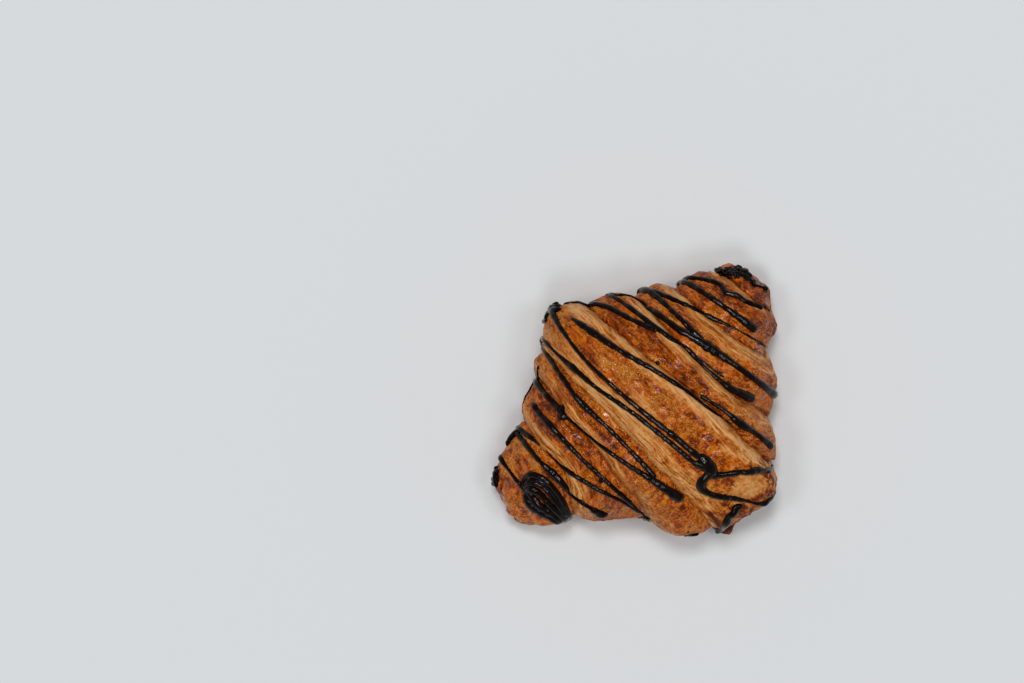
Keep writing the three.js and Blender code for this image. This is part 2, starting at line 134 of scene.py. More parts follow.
# The drizzle: each run is a route in plan of (x, y, width). Past the outline it runs down the side.
DRIZZLE = (
    # the left end, with its puddle of loops
    ((-62, 11.5, 3.4), (-60, 14.3, 3.8), (-57.8, 17, 3)),
    ((-54.1, 18.8, 2.8), (-54.8, 13.5, 1.5), (-55.1, 8, 1.6), (-55.2, 2.2, 2.2)),
    (
        (-54, 3.2, 2), (-56.8, 1, 3), (-57.4, -2.4, 3.8), (-56.4, -6, 4.2), (-54.9, -9.8, 3.8),
        (-53.8, -13.2, 3.6), (-53, -17, 3.4),
    ),
    ((-54.6, 3, 2.6), (-55, -0.8, 4), (-55, -4.4, 3.8), (-53.6, -10, 3.2), (-52.2, -17, 3)),
    (
        (-55.2, 3.2, 2), (-53, 1.8, 3.4), (-51.8, -1.6, 2.8), (-51.8, -6, 2.6), (-51.4, -10, 3),
        (-51.2, -17, 3.2),
    ),
    ((-53.4, 4.4, 1.6), (-50.4, 2.6, 2.2), (-49.2, -1.6, 2.1), (-49.3, -6.8, 2.2), (-50, -13, 2.6)),
    (
        (-54.6, 6, 1.4), (-51.8, 7, 2.2), (-49.2, 6, 2.7), (-47.5, 3, 2.6), (-46.6, -2, 2.4),
        (-47, -7.6, 2.4), (-48.6, -13, 2.5), (-50, -16.6, 2.6),
    ),
    (
        (-55.4, 6.6, 1.2), (-53.4, 4.8, 1.7), (-51, 4.8, 1.8), (-48.6, 1.8, 1.6), (-48, -3, 1.5),
        (-48.4, -9, 1.6),
    ),
    # the first wrap from the left
    ((-48.6, 20.1, 3.6), (-46.2, 21, 3), (-43, 21.4, 2.6)),
    (
        (-43.5, 21.8, 2.3), (-43.9, 8.3, 1.9), (-43, -0.8, 3.4), (-43, -9.6, 1.7), (-41.7, -14.6, 2.5),
        (-41, -17.4, 2.4), (-40.2, -19.4, 4.2), (-39.4, -22.2, 4.8),
    ),
    ((-42.4, 28, 1.9), (-42, 23.3, 2.3), (-40.9, 18, 1.9), (-39.8, 12.4, 0.8)),
    ((-39.4, 9, 0.7), (-38.3, -0.8, 1.9), (-35.3, -11.3, 1.9), (-31, -21.8, 1.6), (-28.2, -31, 1.2)),
    ((-34, 28.5, 1), (-30, 30.8, 1.4), (-25.5, 31.5, 1.6)),
    (
        (-31.9, 25.5, 1.9), (-32.3, 18, 2.6), (-31.5, 0, 1.9), (-30.4, -10.5, 1.9), (-28.9, -22.5, 1.9),
        (-27.8, -34.5, 1.3),
    ),
    ((-31.9, -12.4, 1.9), (-30, -11.2, 1.5)),
    ((-29.6, -36.6, 1.5), (-27.4, -35.6, 1.9)),
    # the second wrap from the left
    (
        (-25.2, 37, 2.1), (-25.5, 31.8, 2.6), (-25.9, 23.3, 2.3), (-25.5, 17.3, 2.6),
        (-24.8, 10.5, 1.5), (-22.5, -3.8, 1.5), (-19.5, -15.8, 1.9), (-16.5, -25.5, 3),
        (-13.5, -36.4, 4.2),
    ),
    ((-26.5, 14.9, 3.8), (-25.6, 16.4, 3.8), (-23.6, 18, 1.8)),
    (
        (-15.4, 39, 1.9), (-17.3, 24.4, 1.9), (-18, 14.3, 2.5), (-16.5, 0, 1.7), (-15.4, -21, 1.9),
        (-15.8, -24, 1.9),
    ),
    # the middle wrap
    ((-14.6, 48.5, 2), (-13.4, 43.4, 3)),
    (
        (-13.1, 44, 2.3), (-12.8, 34.5, 1.3), (-11.6, 26.3, 2.6), (-10, 15, 1.9), (-6, -0.8, 1.9),
        (-3, -16.9, 1.9), (-0.8, -31.5, 1.9),
    ),
    ((-7.1, 46.5, 2.6), (-4.1, 48, 3.4), (-1.5, 45.8, 2.6)),
    (
        (-3.4, 53, 2.2), (-3.8, 47.6, 3), (-5.6, 39, 1.9), (-6.4, 24.4, 1.5), (-3.8, 1.9, 1.9),
        (-0.4, -15.8, 2.3), (1.5, -27.8, 2.3), (3, -33, 3),
    ),
    ((-0.9, -29.5, 2.4), (0.3, -32, 2.6), (1.2, -34.6, 2.6)),
    ((2.4, -29, 3), (2.2, -32.6, 5.4), (1.6, -36.2, 4.4), (-1, -36.6, 3.6)),
    (
        (1, -36.6, 4), (-2.6, -36.4, 4.2), (-5, -38.6, 3.8), (-3.6, -43, 2.9), (1.3, -49.5, 2.1),
        (6.8, -56.6, 1.6), (9.8, -58.6, 2.8), (14.6, -58.8, 3),
    ),
    (
        (1.9, -53.2, 2.4), (-1.4, -52.5, 4), (-4.4, -52.9, 3.9), (-7, -54.3, 3), (-9, -56, 2.4),
        (-10.4, -59.5, 2), (-10.6, -64, 1.5), (-10.4, -70, 1.2),
    ),
    ((0.8, -37, 3.2), (4.5, -40, 2.6), (10.5, -43.9, 2.4), (15, -46.9, 2.9)),
    ((14.6, -46.6, 3), (17, -48.6, 1.5), (19.3, -50.8, 1.7)),
    (
        (0, 40, 1.5), (1.9, 33, 2.8), (5.6, 19.5, 2.3), (10, 6.8, 2.1), (13.9, -6.8, 1.9),
        (16, -17.3, 1.5), (18.8, -27.8, 0.9),
    ),
    # the first wrap to its right
    (
        (17.3, -12.8, 1.5), (20.3, -23.3, 1.7), (21.3, -29.3, 3.2), (23.6, -36.8, 1.9),
        (24.8, -43.5, 3.6),
    ),
    ((1.5, 46.5, 1.5), (6.8, 42, 1.9), (12.4, 35.6, 2.3), (16.5, 25.5, 2.1), (20.6, 16.9, 2.3)),
    (
        (16.9, 36.8, 1.9), (18.8, 30, 1.9), (21, 18.8, 2.1), (22.5, 11.3, 2.3), (24.8, 3, 2.3),
        (25.1, -5.3, 1.7), (27, -16.5, 2.6), (31, -25.9, 3.6),
    ),
    # the second wrap to the right
    (
        (15.6, 41.5, 1.5), (17.3, 36.8, 1.5), (21.8, 31.9, 1.5), (24.8, 22.5, 2.4), (27.4, 10.5, 2.6),
        (31, 0, 4.1), (34.1, -11.3, 2.4), (37, -23.3, 2.6), (39, -32.3, 3.2),
    ),
    ((25.4, 37.5, 2.2), (26.3, 32.6, 3.2), (28.9, 27.8, 3), (30, 17.3, 1.9), (31, 3, 2.6)),
    ((29.6, 28.5, 1.9), (34.5, 18, 2.1), (40, 5.3, 1.9), (43.5, -2.6, 0.8), (48, -15, 1.3)),
    # the right end
    ((39, 29.5, 2.1), (40, 24.8, 3), (42, 20.3, 2.3), (45.4, 7.5, 2.3), (48.8, -6.8, 3.2)),
    (
        (41.3, 24.8, 2.3), (46.9, 19, 2.3), (49.9, 13.5, 1.9), (49.5, 10, 2.1), (52, 6.4, 2.3),
        (52.9, 3, 2.1), (55.6, -2.3, 2.8),
    ),
    (
        (51, 23, 1.5), (52, 18, 1.8), (55.5, 14.6, 2.2), (58.5, 11.3, 2.4), (60.4, 6.8, 1.8),
        (61, -0.8, 1.1),
    ),
    ((57.4, 15, 1.8), (59.3, 12.4, 2), (60.2, 9.4, 1.8)),
)
# Spots and short dashes that are too small for the solid.
SPATTER = (
    ((12.9, 7.9, 1.9), (13.2, 7, 1.7)),
    ((-19.6, -47.4, 1), (-19.3, -47.9, 1)),
    ((57.3, -5.7, 1), (57.5, -6.4, 1)),
    ((-21, -48.9, 2.3), (-17.3, -50.4, 2.4)),
    ((17.3, -50.2, 1.3), (18.4, -51, 1.3)),
    ((20.3, -50.4, 1.3), (20.9, -50.9, 1.3)),
    ((25.9, -1.9, 0.9), (27, -7.9, 1), (28.1, -12.8, 0.9)),
    ((-24, 33, 1.5), (-21, 34.9, 1.5)),
)
END_MARGIN = 0.8  # that every run keeps clear of the roll's two ends

# The loose end of dough at the foot of the front, in slices from its root to its torn tip: the y, the
# x of its left and right sides, the height of its middle, and its thickness.
TONGUE = (
    (-42, -9, 9, 9.5, 9),
    (-48, -10.4, 8.6, 8.4, 8),
    (-52, -11, 8, 7.2, 7),
    (-54.8, -11.4, 6.6, 6.2, 6),
    (-56.8, -10.8, 3, 5.2, 5),
    (-58.2, -9.9, -2.6, 4.4, 4),
    (-59.4, -9.2, -4.8, 3.8, 3),
    (-60.3, -8.4, -6.4, 3.4, 1.6),
)
TONGUE_RINGS = 60
TONGUE_SIDES = 90
TONGUE_LIP = 0.8  # how sharp its sides are: 1 is an oval, and less is fuller
TONGUE_FIBRES = {"length": 8, "spacing": 1.1, "seed": 64}
TONGUE_FIBRE_HEIGHT = 0.3
TONGUE_FIBRE_SWING = 0.15  # of the browning
TONGUE_BUMPS = ((3.5, 0.6, 61), (1.5, 0.35, 62))  # spacing, height and seed
TONGUE_RAGGEDNESS = ((2.4, 0.7, 63),)  # spacing, distance and seed
TONGUE_SCORCHED = (-6.0, -1.0)  # it is scorched left of the first x, and no more right of the second
TONGUE_GLOSS = 0.2
TONGUE_WRAP = 10  # the number of wrap that it counts as
TONGUE_DRIP = ((-11.6, -56.5, 1.8), (-10, -56.6, 2), (-8.8, -57, 1.6))

# Rough heaps of chocolate crumbs: the middle's x and y, the radius and the number of crumbs.
CRUMBS = (
    (53.6, 17, 1.2, 16), (55.8, 14.6, 1.9, 34), (58, 12.4, 2.1, 40), (59.4, 9.4, 1.7, 28),
    (60.3, 6, 1, 12), (60.9, 1.5, 0.6, 6),
    (-4, 49.6, 2.4, 24), (-1.8, 46.8, 1.6, 8), (-7.4, 47, 1.4, 6),
    (-59, 16.2, 1.3, 9), (-60.6, 13, 1.6, 10),
    (-54.4, 5.4, 1, 5), (-28.2, -35.8, 0.8, 3),
)

# ---- the fine relief of the crust, in millimetres --------------------------------------------------
ROWS_ON_TOP = 200  # facets round the roll above and beside it
ROWS_BELOW = 28  # and underneath
SIDE_ANGLE = 0.4  # how far below the middle of the sides the fine rows reach, in radians
COLUMN_SPACING = 0.47  # along the roll
EDGE_CROWDING = 0.9  # how much closer the columns lie on a cut edge
EDGE_CROWDED = (0.8, 1.4)  # where that fades out, in widths of the edge's slope
END_CROWDING = 4  # how much closer they lie at the two ends
END_CROWDED = (0.25, 0.4)  # where that fades out at the left and right end, in widths of the wrap
CROWDING_STOPS = 400  # across a wrap
FEWEST_COLUMNS = 12
LATTICE = 40  # points along each side of a block of random numbers, which repeats
NOISE_SHIFT = 0.37  # in spacings, from one seed's noise to the next
# Noises that are drawn out along the grain have a size, a length as a multiple of the spacing, the
# spacing and a seed.
LAYERS = ((1, 24, 1.1, 31), (0.6, 24, 0.55, 32))  # of dough, as they show on a cut edge
LAYER_DEPTH = 0.3
LAYERS_ON_SKIN = 0.25  # share of that depth that shows through the glazed skin
CRACKS = (1, 16, 2.4, 37)  # between layers, long and thin
# A crack's darkness is painted shade in it, on top of its real depth.
CRACK = {"width": 0.06, "depth": 0.35, "on_skin": 0.12, "darkness": 0.5}
CRACK_CLUSTERS = {"spacing": 6.0, "seed": 34, "cover": (0.0, 0.4)}
BLISTERS = ((3.2, 0.34, 11), (1.5, 0.2, 12))  # spacing, height and seed of each size of blister
BLISTER_RADIUS = (0.35, 0.65)  # the least and the most, in spacings
NO_BLISTER = 0.35  # share of the spots that stay flat
BLISTERS_ON_CUT = 0.3  # share of their height
UNEVENNESS = ((9.0, 0.5, 21), (3.8, 0.34, 22))  # spacing, depth and seed
END_LUMPS = ((5.5, 1.5, 23), (2.6, 0.6, 26))  # on the pinched ends: spacing, height and seed
END_REACH = 20.0  # how far in from the ends they fade out
WANDER = ((5.0, 0.6, 24), (1.8, 0.16, 25))  # of the cut edges: spacing, distance and seed
CUT_BORDER = ((0.4, 6, 2.4, 51), (0.3, 9, 1.0, 52))  # raggedness of the pale band's border
CUT_FADE = (0.6, 1.3)  # where the pale band fades out, in its own reach
# Streaks and folds that run into the pinched ends, and where they fade in: at 1 lies the very end.
STREAKS = {"spacing": 2.0, "length": 5, "cover": (0.2, 0.9), "height": 0.6, "paler": 0.3, "seed": 36}
# A fold's darkness is painted shade in its crease, on top of its real depth.
FOLDS = {
    "spacing": 8.0, "length": 2, "cover": (0.35, 1.0), "width": 0.3, "depth": 1.0, "darkness": 0.8,
    "seed": 35,
}
CREVICE_WIDTH = 1.1  # on the crest
CREVICE_WIDER = 0.8  # by this share down the sides
CREVICE_DEEPER = 1.0  # likewise
# The crevice's dark line is painted shade: colour darkened where the crevice lies in shadow.
CREVICE_SHADE = 0.8  # width of the dark line in it, as a share
GRAIN_OFFSET = 40.0  # between one wrap's grain and the next
WRAP_STEP = 0.05  # and in metres, for the material's patterns
CREVICE_DEPTH = (0.5, 0.6, 0.2, 0.9, 0.8, 0.6, 0.8)  # at the foot of each edge, on the crest
CREVICE_ON_EDGE = 0.3  # share of the crevice that cuts into the edge and not the wrap beside it
EDGE_TOP = (1.0, 1.5)  # where the edge gives way to that wrap, in reaches of the edge's pale band
BASE_ROUNDING = 0.7  # of the corner between the base and the sides
# Torn skin on the middle wrap's front, above a ledge, and its rim. Their x, y, half widths, ledge,
# depth and height are in millimetres, and the other distances in half widths. A ragged line has the
# spacing, size and seed of its noises.
PATCH = {
    "x": 7.4, "y": -49.6, "half": (8.4, 6.0), "edge": (0.86, 0.96), "ledge": (8.0, 12.0), "depth": 0.5,
    "ragged": ((2.4, 0.2, 41), (1.1, 0.16, 42)),
}
RIM = {
    "inside": (0.84, 0.98), "reach": 1.16, "wider": 0.3, "towards": (-0.5, 1.0), "fade": 0.2,
    "ragged": ((2.0, 0.3, 44),), "height": 0.4, "bumps": (1.2, 43), "scorches": (1.1, 47),
    "scorched": (-0.5, 0.4),
}
# The flap on the loose end. Its sides rise, and its dark edge fades, over these distances.
FLAP = {
    "x": -10.4, "y": -45.0, "slant": 0.75, "left": (0, 0.5), "top": (0, 0.6), "right": (-1.0, 6.0),
    "height": 0.9, "ragged": ((3.0, 0.7, 45), (1.2, 0.4, 46)), "dark_edge": (1.5, 5.0),
}
# Sines of the angles round the roll between which things fade, from the sides to the crest.
RELIEF_FADE = (-0.4, 0.1)
GLOSS_FADE = (0.1, 0.85)
PALE_SIDES_FADE = (0.2, 0.9)
UNDERSIDE_FADE = (-0.8, -0.3)

# ---- how brown the crust baked, from 0, unbaked, to 1, scorched, and its painted shade -------------
BROWNING = (0.44, 0.53, 0.49, 0.43, 0.55, 0.5, 0.51, 0.45)  # of each wrap's glazed top
BROWNING_SWINGS = ((0.17, 2.2, 7.0, 53), (0.18, 2.5, 2.8, 54))
SCORCHES = {
    "darker": 0.2, "spacing": 4.2, "share": 0.5, "fade": (0.16, 0.42), "ragged": ((1.3, 0.5, 71),),
    "seed": 72,
}
# How brown each edge's cut layers baked; the middle wrap's right edge, the fourth, is painted paler as
# painted light, to offset the shade from its tilt and the wrap beside it.
CUT_BROWNING_AND_PAINTED_LIGHT = (0.28, 0.26, 0.17, 0.04, 0.2, 0.2, 0.28)  # for each edge
CUT_SWING = (0.1, 4, 3.0, 55)
LAYERS_SWING = 0.12
TORN_SWING = {"size": 0.1, "spacing": 1.8, "seed": 56}
FLAP_SWING = {"size": 0.4, "length": (1, 5, 2), "spacing": 1.1, "seed": 57}
# Painted shade: the browning that the crevices at the edges' feet are darkened to.
PAINTED_CREVICE_SHADE = 0.78
# Painted shade: the browning that the cracks and the folds are darkened to.
PAINTED_CRACK_SHADE = 0.9
PAINTED_FOLD_SHADE = 0.85
LIGHTER_SIDES = 0.15  # than the top
BROWNING_OF_TORN = 0.2
BROWNING_OF_RIM = 0.85
BROWNING_OF_FLAP = (0.45, 0.8)  # in its middle, and along its free edge
BROWNING_BELOW = 0.5
BROWNING_OF_TONGUE = (0.42, 0.92)  # where it is pale, and at its scorched corner
# The colours that these come to, on glazed skin and on bare layers.
GLAZED_COLOURS = (
    (0.06, "#D48432"), (0.26, "#C8690A"), (0.42, "#B65504"), (0.56, "#963F00"), (0.72, "#702B01"),
    (0.92, "#4C2004"),
)
BARE_COLOURS = (
    (0.0, "#E7AF73"), (0.18, "#D6914D"), (0.34, "#C2732D"), (0.5, "#A75617"), (0.68, "#82390A"),
    (0.9, "#592204"),
)
# How far each cut edge's pale band reaches, in widths of its slope, at the back, crest and front.
CUT_REACH = (
    (1, 1.15, 0.9), (0.9, 1.05, 0.8), (0.45, 1.15, 0.6), (1.1, 1.2, 1.5), (1, 1.1, 1.1), (0.9, 1, 0.8),
    (0.8, 0.9, 0.8),
)

# ---- where the photograph was taken from -----------------------------------------------------------
PHOTO_SIZE = (1024, 683)
PHOTO_SCALE = 0.375  # millimetres to a pixel at the height of the croissant's outline
PLAN_PIXEL = (642, 400)  # the pixel that shows the point where the plan was laid out
PHOTO_TURN = math.radians(41)  # the roll lies this far round from the photograph's horizontal
OUTLINE_HEIGHT = 20.0
LENS = 200.0
SENSOR = 36.0


# ---- small helpers ---------------------------------------------------------------------------------
def smooth(low, high, value):
    """0 below low, 1 above high, and a smooth rise between them."""
    share = np.clip((value - low) / (high - low), 0, 1)
    return share * share * (3 - 2 * share)


def mix(low, high, share):
    """From low, where the share is 0, to high, where it is 1."""
    return low + (high - low) * share


@functools.cache
def random_lattice(seed, *shape):
    """Seeded random numbers from 0 to 1 on the points of a lattice."""
    return np.random.default_rng(seed).uniform(0, 1, (LATTICE,) * 3 + shape)


def noise(points, spacing, seed):
    """Smooth noise from -1 to 1 with about one bump each spacing, from a seeded lattice."""
    lattice = 2 * random_lattice(seed) - 1
    scaled = points / spacing + seed * NOISE_SHIFT
    cell = np.floor(scaled).astype(int)
    part = scaled - cell
    part = part * part * (3 - 2 * part)
    total = np.zeros(points.shape[:-1])
    for corner in np.ndindex(2, 2, 2):
        weight = np.prod(np.where(corner, part, 1 - part), axis=-1)
        index = (cell + corner) % LATTICE
        total += weight * lattice[index[..., 0], index[..., 1], index[..., 2]]
    return total


def rough(points, noises, later=0):
    """The sum of these noises, each with its spacing, its size and its seed or a later one."""
    return sum(size * noise(points, spacing, seed + later) for spacing, size, seed in noises)


def scatter(points, spacing, seed):
    """Distance to the nearest of a seeded scatter of spots, in spacings, and that spot's own draw."""
    draws = random_lattice(seed, 4)
    scaled = points / spacing
    cell = np.floor(scaled).astype(int)
    nearest = np.full(points.shape[:-1], np.inf)
    drawn = np.zeros(points.shape[:-1])
    for step in np.ndindex(3, 3, 3):
        near = cell + np.array(step) - 1
        index = near % LATTICE
        spot = draws[index[..., 0], index[..., 1], index[..., 2]]
        distance = np.linalg.norm(near + spot[..., :3] - scaled, axis=-1)
        closer = distance < nearest
        nearest = np.where(closer, distance, nearest)
        drawn = np.where(closer, spot[..., 3], drawn)
    return nearest, drawn


# ---- the roll's surface ----------------------------------------------------------------------------
def station(x, measure):
    """A smooth curve through the stations for one of their measures."""
    xs, values = STATION["x"], STATION[measure]
    last = len(xs) - 2
    i = np.clip(np.searchsorted(xs, x, side="left") - 1, 0, last)
    before, after = np.maximum(i - 1, 0), np.minimum(i + 2, last + 1)
    span = xs[i + 1] - xs[i]
    t = np.clip((x - xs[i]) / span, 0, 1)
    slope_a = (values[i + 1] - values[before]) / (xs[i + 1] - xs[before]) * span
    slope_b = (values[after] - values[i]) / (xs[after] - xs[i]) * span
    t2, t3 = t * t, t * t * t
    from_a = (2 * t3 - 3 * t2 + 1) * values[i] + (t3 - 2 * t2 + t) * slope_a
    return from_a + (3 * t2 - 2 * t3) * values[i + 1] + (t3 - t2) * slope_b


def edge_at(edge, angle):
    """The x of an edge at an angle round the roll: 0 is the back, a quarter turn the crest."""
    cosine = np.cos(angle)
    side = np.where(cosine > 0, edge.back, edge.front)
    waver = sum(
        size * np.sin(waves * angle + start * edge.crest) for size, waves, start in EDGE_WAVER
    )
    return mix(edge.crest, side, np.abs(cosine) ** EDGE_BEND) + waver


def feet_at(angle):
    """The x of both ends and of every edge at these angles, one row each."""
    left, right = np.full_like(angle, LEFT_END), np.full_like(angle, RIGHT_END)
    return np.stack([left, *(edge_at(edge, angle) for edge in EDGES), right])


def wrap_of(x, angle):
    """Which wrap lies uppermost at x."""
    return np.sum([x > foot for foot in feet_at(angle)[1:-1]], axis=0)


def cut_reach(number, angle):
    """How far an edge's pale band reaches at this angle, in widths of its slope."""
    back, crest, front = CUT_REACH[number]
    cosine = np.cos(angle)
    return mix(crest, np.where(cosine > 0, back, front), cosine**2)


def rounded_rise(distance, width):
    """From 0 at the foot of a cut edge to 1 at its top."""
    return 1 - (1 - np.clip(distance / width, 0, 1)) ** STEP_ROUNDING


def wrap_relief(x, angle, wrap):
    """How far a wrap stands out of the mean surface. Also the distance across its grain in millimetres,
    the distance from the foot of its cut edge in reaches of that edge's pale band, the distance to the
    nearest foot, how deep the crease there is, and how brown the nearest edge."""
    feet = feet_at(angle)
    start = np.take_along_axis(feet, wrap[None], axis=0)[0]
    stop = np.take_along_axis(feet, wrap[None] + 1, axis=0)[0]
    share = np.clip((x - start) / (stop - start), 0, 1)
    relief = np.zeros_like(x)
    grain = np.where(wrap < RIGHT_WRAPS, x - start, x - stop)
    across, foot = np.full_like(x, FAR), np.full_like(x, FAR)
    crease, pallor = np.zeros_like(x), np.full_like(x, CUT_BROWNING_AND_PAINTED_LIGHT[0])
    for number in range(len(EDGES) + 1):
        here = wrap == number
        past, left_over, part = (x - start)[here], (stop - x)[here], share[here]
        left = EDGES[number - 1] if number else None
        right = EDGES[number] if number < len(EDGES) else None
        if left is None:
            relief[here] = -STEP_DROP * part**END_FALL
            foot[here] = left_over
            crease[here] = CREVICE_DEPTH[0]
            continue
        if right is None:
            relief[here] = -STEP_DROP * (1 - part) ** END_FALL
            foot[here] = past
            crease[here] = CREVICE_DEPTH[-1]
            continue
        rise, fall = np.ones_like(part), np.zeros_like(part)
        widths = np.full_like(part, FAR)
        if left.faces == "left":
            rise = rounded_rise(past, left.width)
            widths = past / left.width / cut_reach(number - 1, angle[here])
        else:
            fall = (1 - part) ** STEP_FALL
        if right.faces == "right":
            rise = np.minimum(rise, rounded_rise(left_over, right.width))
            widths = np.minimum(widths, left_over / right.width / cut_reach(number, angle[here]))
        else:
            fall = part**STEP_FALL
        relief[here] = rise * (STEP_RISE + STEP_DROP) * (1 - fall) - STEP_DROP
        across[here], foot[here] = widths, np.minimum(past, left_over)
        crease[here] = np.where(past < left_over, CREVICE_DEPTH[number - 1], CREVICE_DEPTH[number])
        # pallor carries that painted light on the middle wrap's right edge too.
        pallor[here] = np.where(past < left_over, CUT_BROWNING_AND_PAINTED_LIGHT[number - 1], CUT_BROWNING_AND_PAINTED_LIGHT[number])
    return relief, grain, across, foot, crease, pallor


def swell(x, angle):
    """Slow unevenness of the baked dough."""
    return sum(
        height * np.sin(turn * x + waves * angle + start) for height, turn, waves, start in SWELL
    )


def mean_section(x, angle):
    """The spine and height at x, and the mean surface's reach from there at this angle."""
    cosine, sine = np.cos(angle), np.sin(angle)
    spine, height, up = station(x, "spine"), station(x, "height"), station(x, "up")
    side = np.abs(np.where(cosine > 0, station(x, "back"), station(x, "front")) - spine)
    under = np.minimum(height + BASE_SINK, up + UNDERSIDE_ROOM)
    power = np.where(sine > 0, TOP_SQUARENESS, BASE_SQUARENESS)
    vertical = np.where(sine > 0, up, under)
    reach = (np.abs(cosine / side) ** power + np.abs(sine / vertical) ** power) ** (-1 / power)
    return spine, height, reach


def placed(x, angle, relief):
    """Points that stand this far out of the mean surface."""
    bluntness = np.where(x < MIDDLE, END_BLUNTNESS["left"], END_BLUNTNESS["right"])
    along = np.clip(np.abs((x - MIDDLE) / (RIGHT_END - MIDDLE)), 0, 1)
    cap = np.sqrt(1 - along**bluntness)
    spine, height, reach = mean_section(x, angle)
    strength = np.where(np.sin(angle) > 0, 1, 1 + (1 - UNDERSIDE_RELIEF) * np.sin(angle))
    out = (reach + relief * strength) * cap
    return np.stack([x, spine + out * np.cos(angle), height + out * np.sin(angle)], axis=-1)


def plain_surface(x, angle):
    """The surface with its wraps but without its fine relief."""
    relief = wrap_relief(x, angle, wrap_of(x, angle))[0]
    return placed(x, angle, relief + swell(x, angle))


# ---- the fine relief -------------------------------------------------------------------------------
def torn_patch(place):
    """1 where the outer skin has lifted off, and 1 on the ragged, scorched rim that it left, which is
    wider at the lower right."""
    across = (place[..., 0] - PATCH["x"]) / PATCH["half"][0]
    along = (place[..., 1] - PATCH["y"]) / PATCH["half"][1]
    far = np.hypot(across, along) + rough(place, PATCH["ragged"])
    above = smooth(*PATCH["ledge"], place[..., 2])
    reach = RIM["reach"] + RIM["wider"] * smooth(*RIM["towards"], across - along)
    beyond = smooth(reach, reach + RIM["fade"], far + rough(place, RIM["ragged"]))
    rim = smooth(*RIM["inside"], far) * (1 - beyond)
    return (1 - smooth(*PATCH["edge"], far)) * above, rim * above


def loose_flap(place):
    """1 on the loose end's layer of dough, which laps onto the lower front of the middle wrap."""
    x, y = place[..., 0] - FLAP["x"], place[..., 1] - FLAP["y"]
    ragged = rough(place, FLAP["ragged"])
    left = smooth(*FLAP["left"], x + ragged)
    top = smooth(*FLAP["top"], -(y + FLAP["slant"] * x) + ragged)
    return left * top * (1 - smooth(*FLAP["right"], place[..., 0]))


def drawn_out(grain, *noises):
    """The sum of these noises, drawn out along the grain."""
    return sum(
        size * noise(grain / [1, length, 1], spacing, seed) for size, length, spacing, seed in noises
    )


def blisters(place):
    """Small domes that steam raised in the skin."""
    raised = np.zeros(place.shape[:-1])
    for spacing, height, seed in BLISTERS:
        distance, draw = scatter(place, spacing, seed)
        radius = mix(*BLISTER_RADIUS, draw)
        raised += height * np.clip(1 - (distance / radius) ** 2, 0, 1) * (draw > NO_BLISTER)
    return raised


def scorches(place):
    """Up to 1 on the ragged red-brown blotches where the glaze baked darkest."""
    ragged = place + rough(place, SCORCHES["ragged"])[..., None]
    distance, draw = scatter(ragged, SCORCHES["spacing"], SCORCHES["seed"])
    return (1 - smooth(*SCORCHES["fade"], distance)) * (draw > SCORCHES["share"])


def cracks(grain, place):
    """1 along the thin cracks that open between layers, in clusters."""
    clusters = noise(place, CRACK_CLUSTERS["spacing"], CRACK_CLUSTERS["seed"])
    from_middle = np.abs(drawn_out(grain, CRACKS))
    return (1 - smooth(0, CRACK["width"], from_middle)) * smooth(*CRACK_CLUSTERS["cover"], clusters)


def folds(place):
    """1 along the creases where the dough was pinched together."""
    from_middle = np.abs(noise(place / [1, FOLDS["length"], 1], FOLDS["spacing"], FOLDS["seed"]))
    return 1 - smooth(0, FOLDS["width"], from_middle)


def flap_browning(place):
    """How brown the loose end is: darkest along its free edge, with fibres that run to the front."""
    at_edge = 1 - smooth(*FLAP["dark_edge"], place[..., 0] - FLAP["x"])
    fibres = noise(place / FLAP_SWING["length"], FLAP_SWING["spacing"], FLAP_SWING["seed"])
    return mix(*BROWNING_OF_FLAP, at_edge) + FLAP_SWING["size"] * fibres


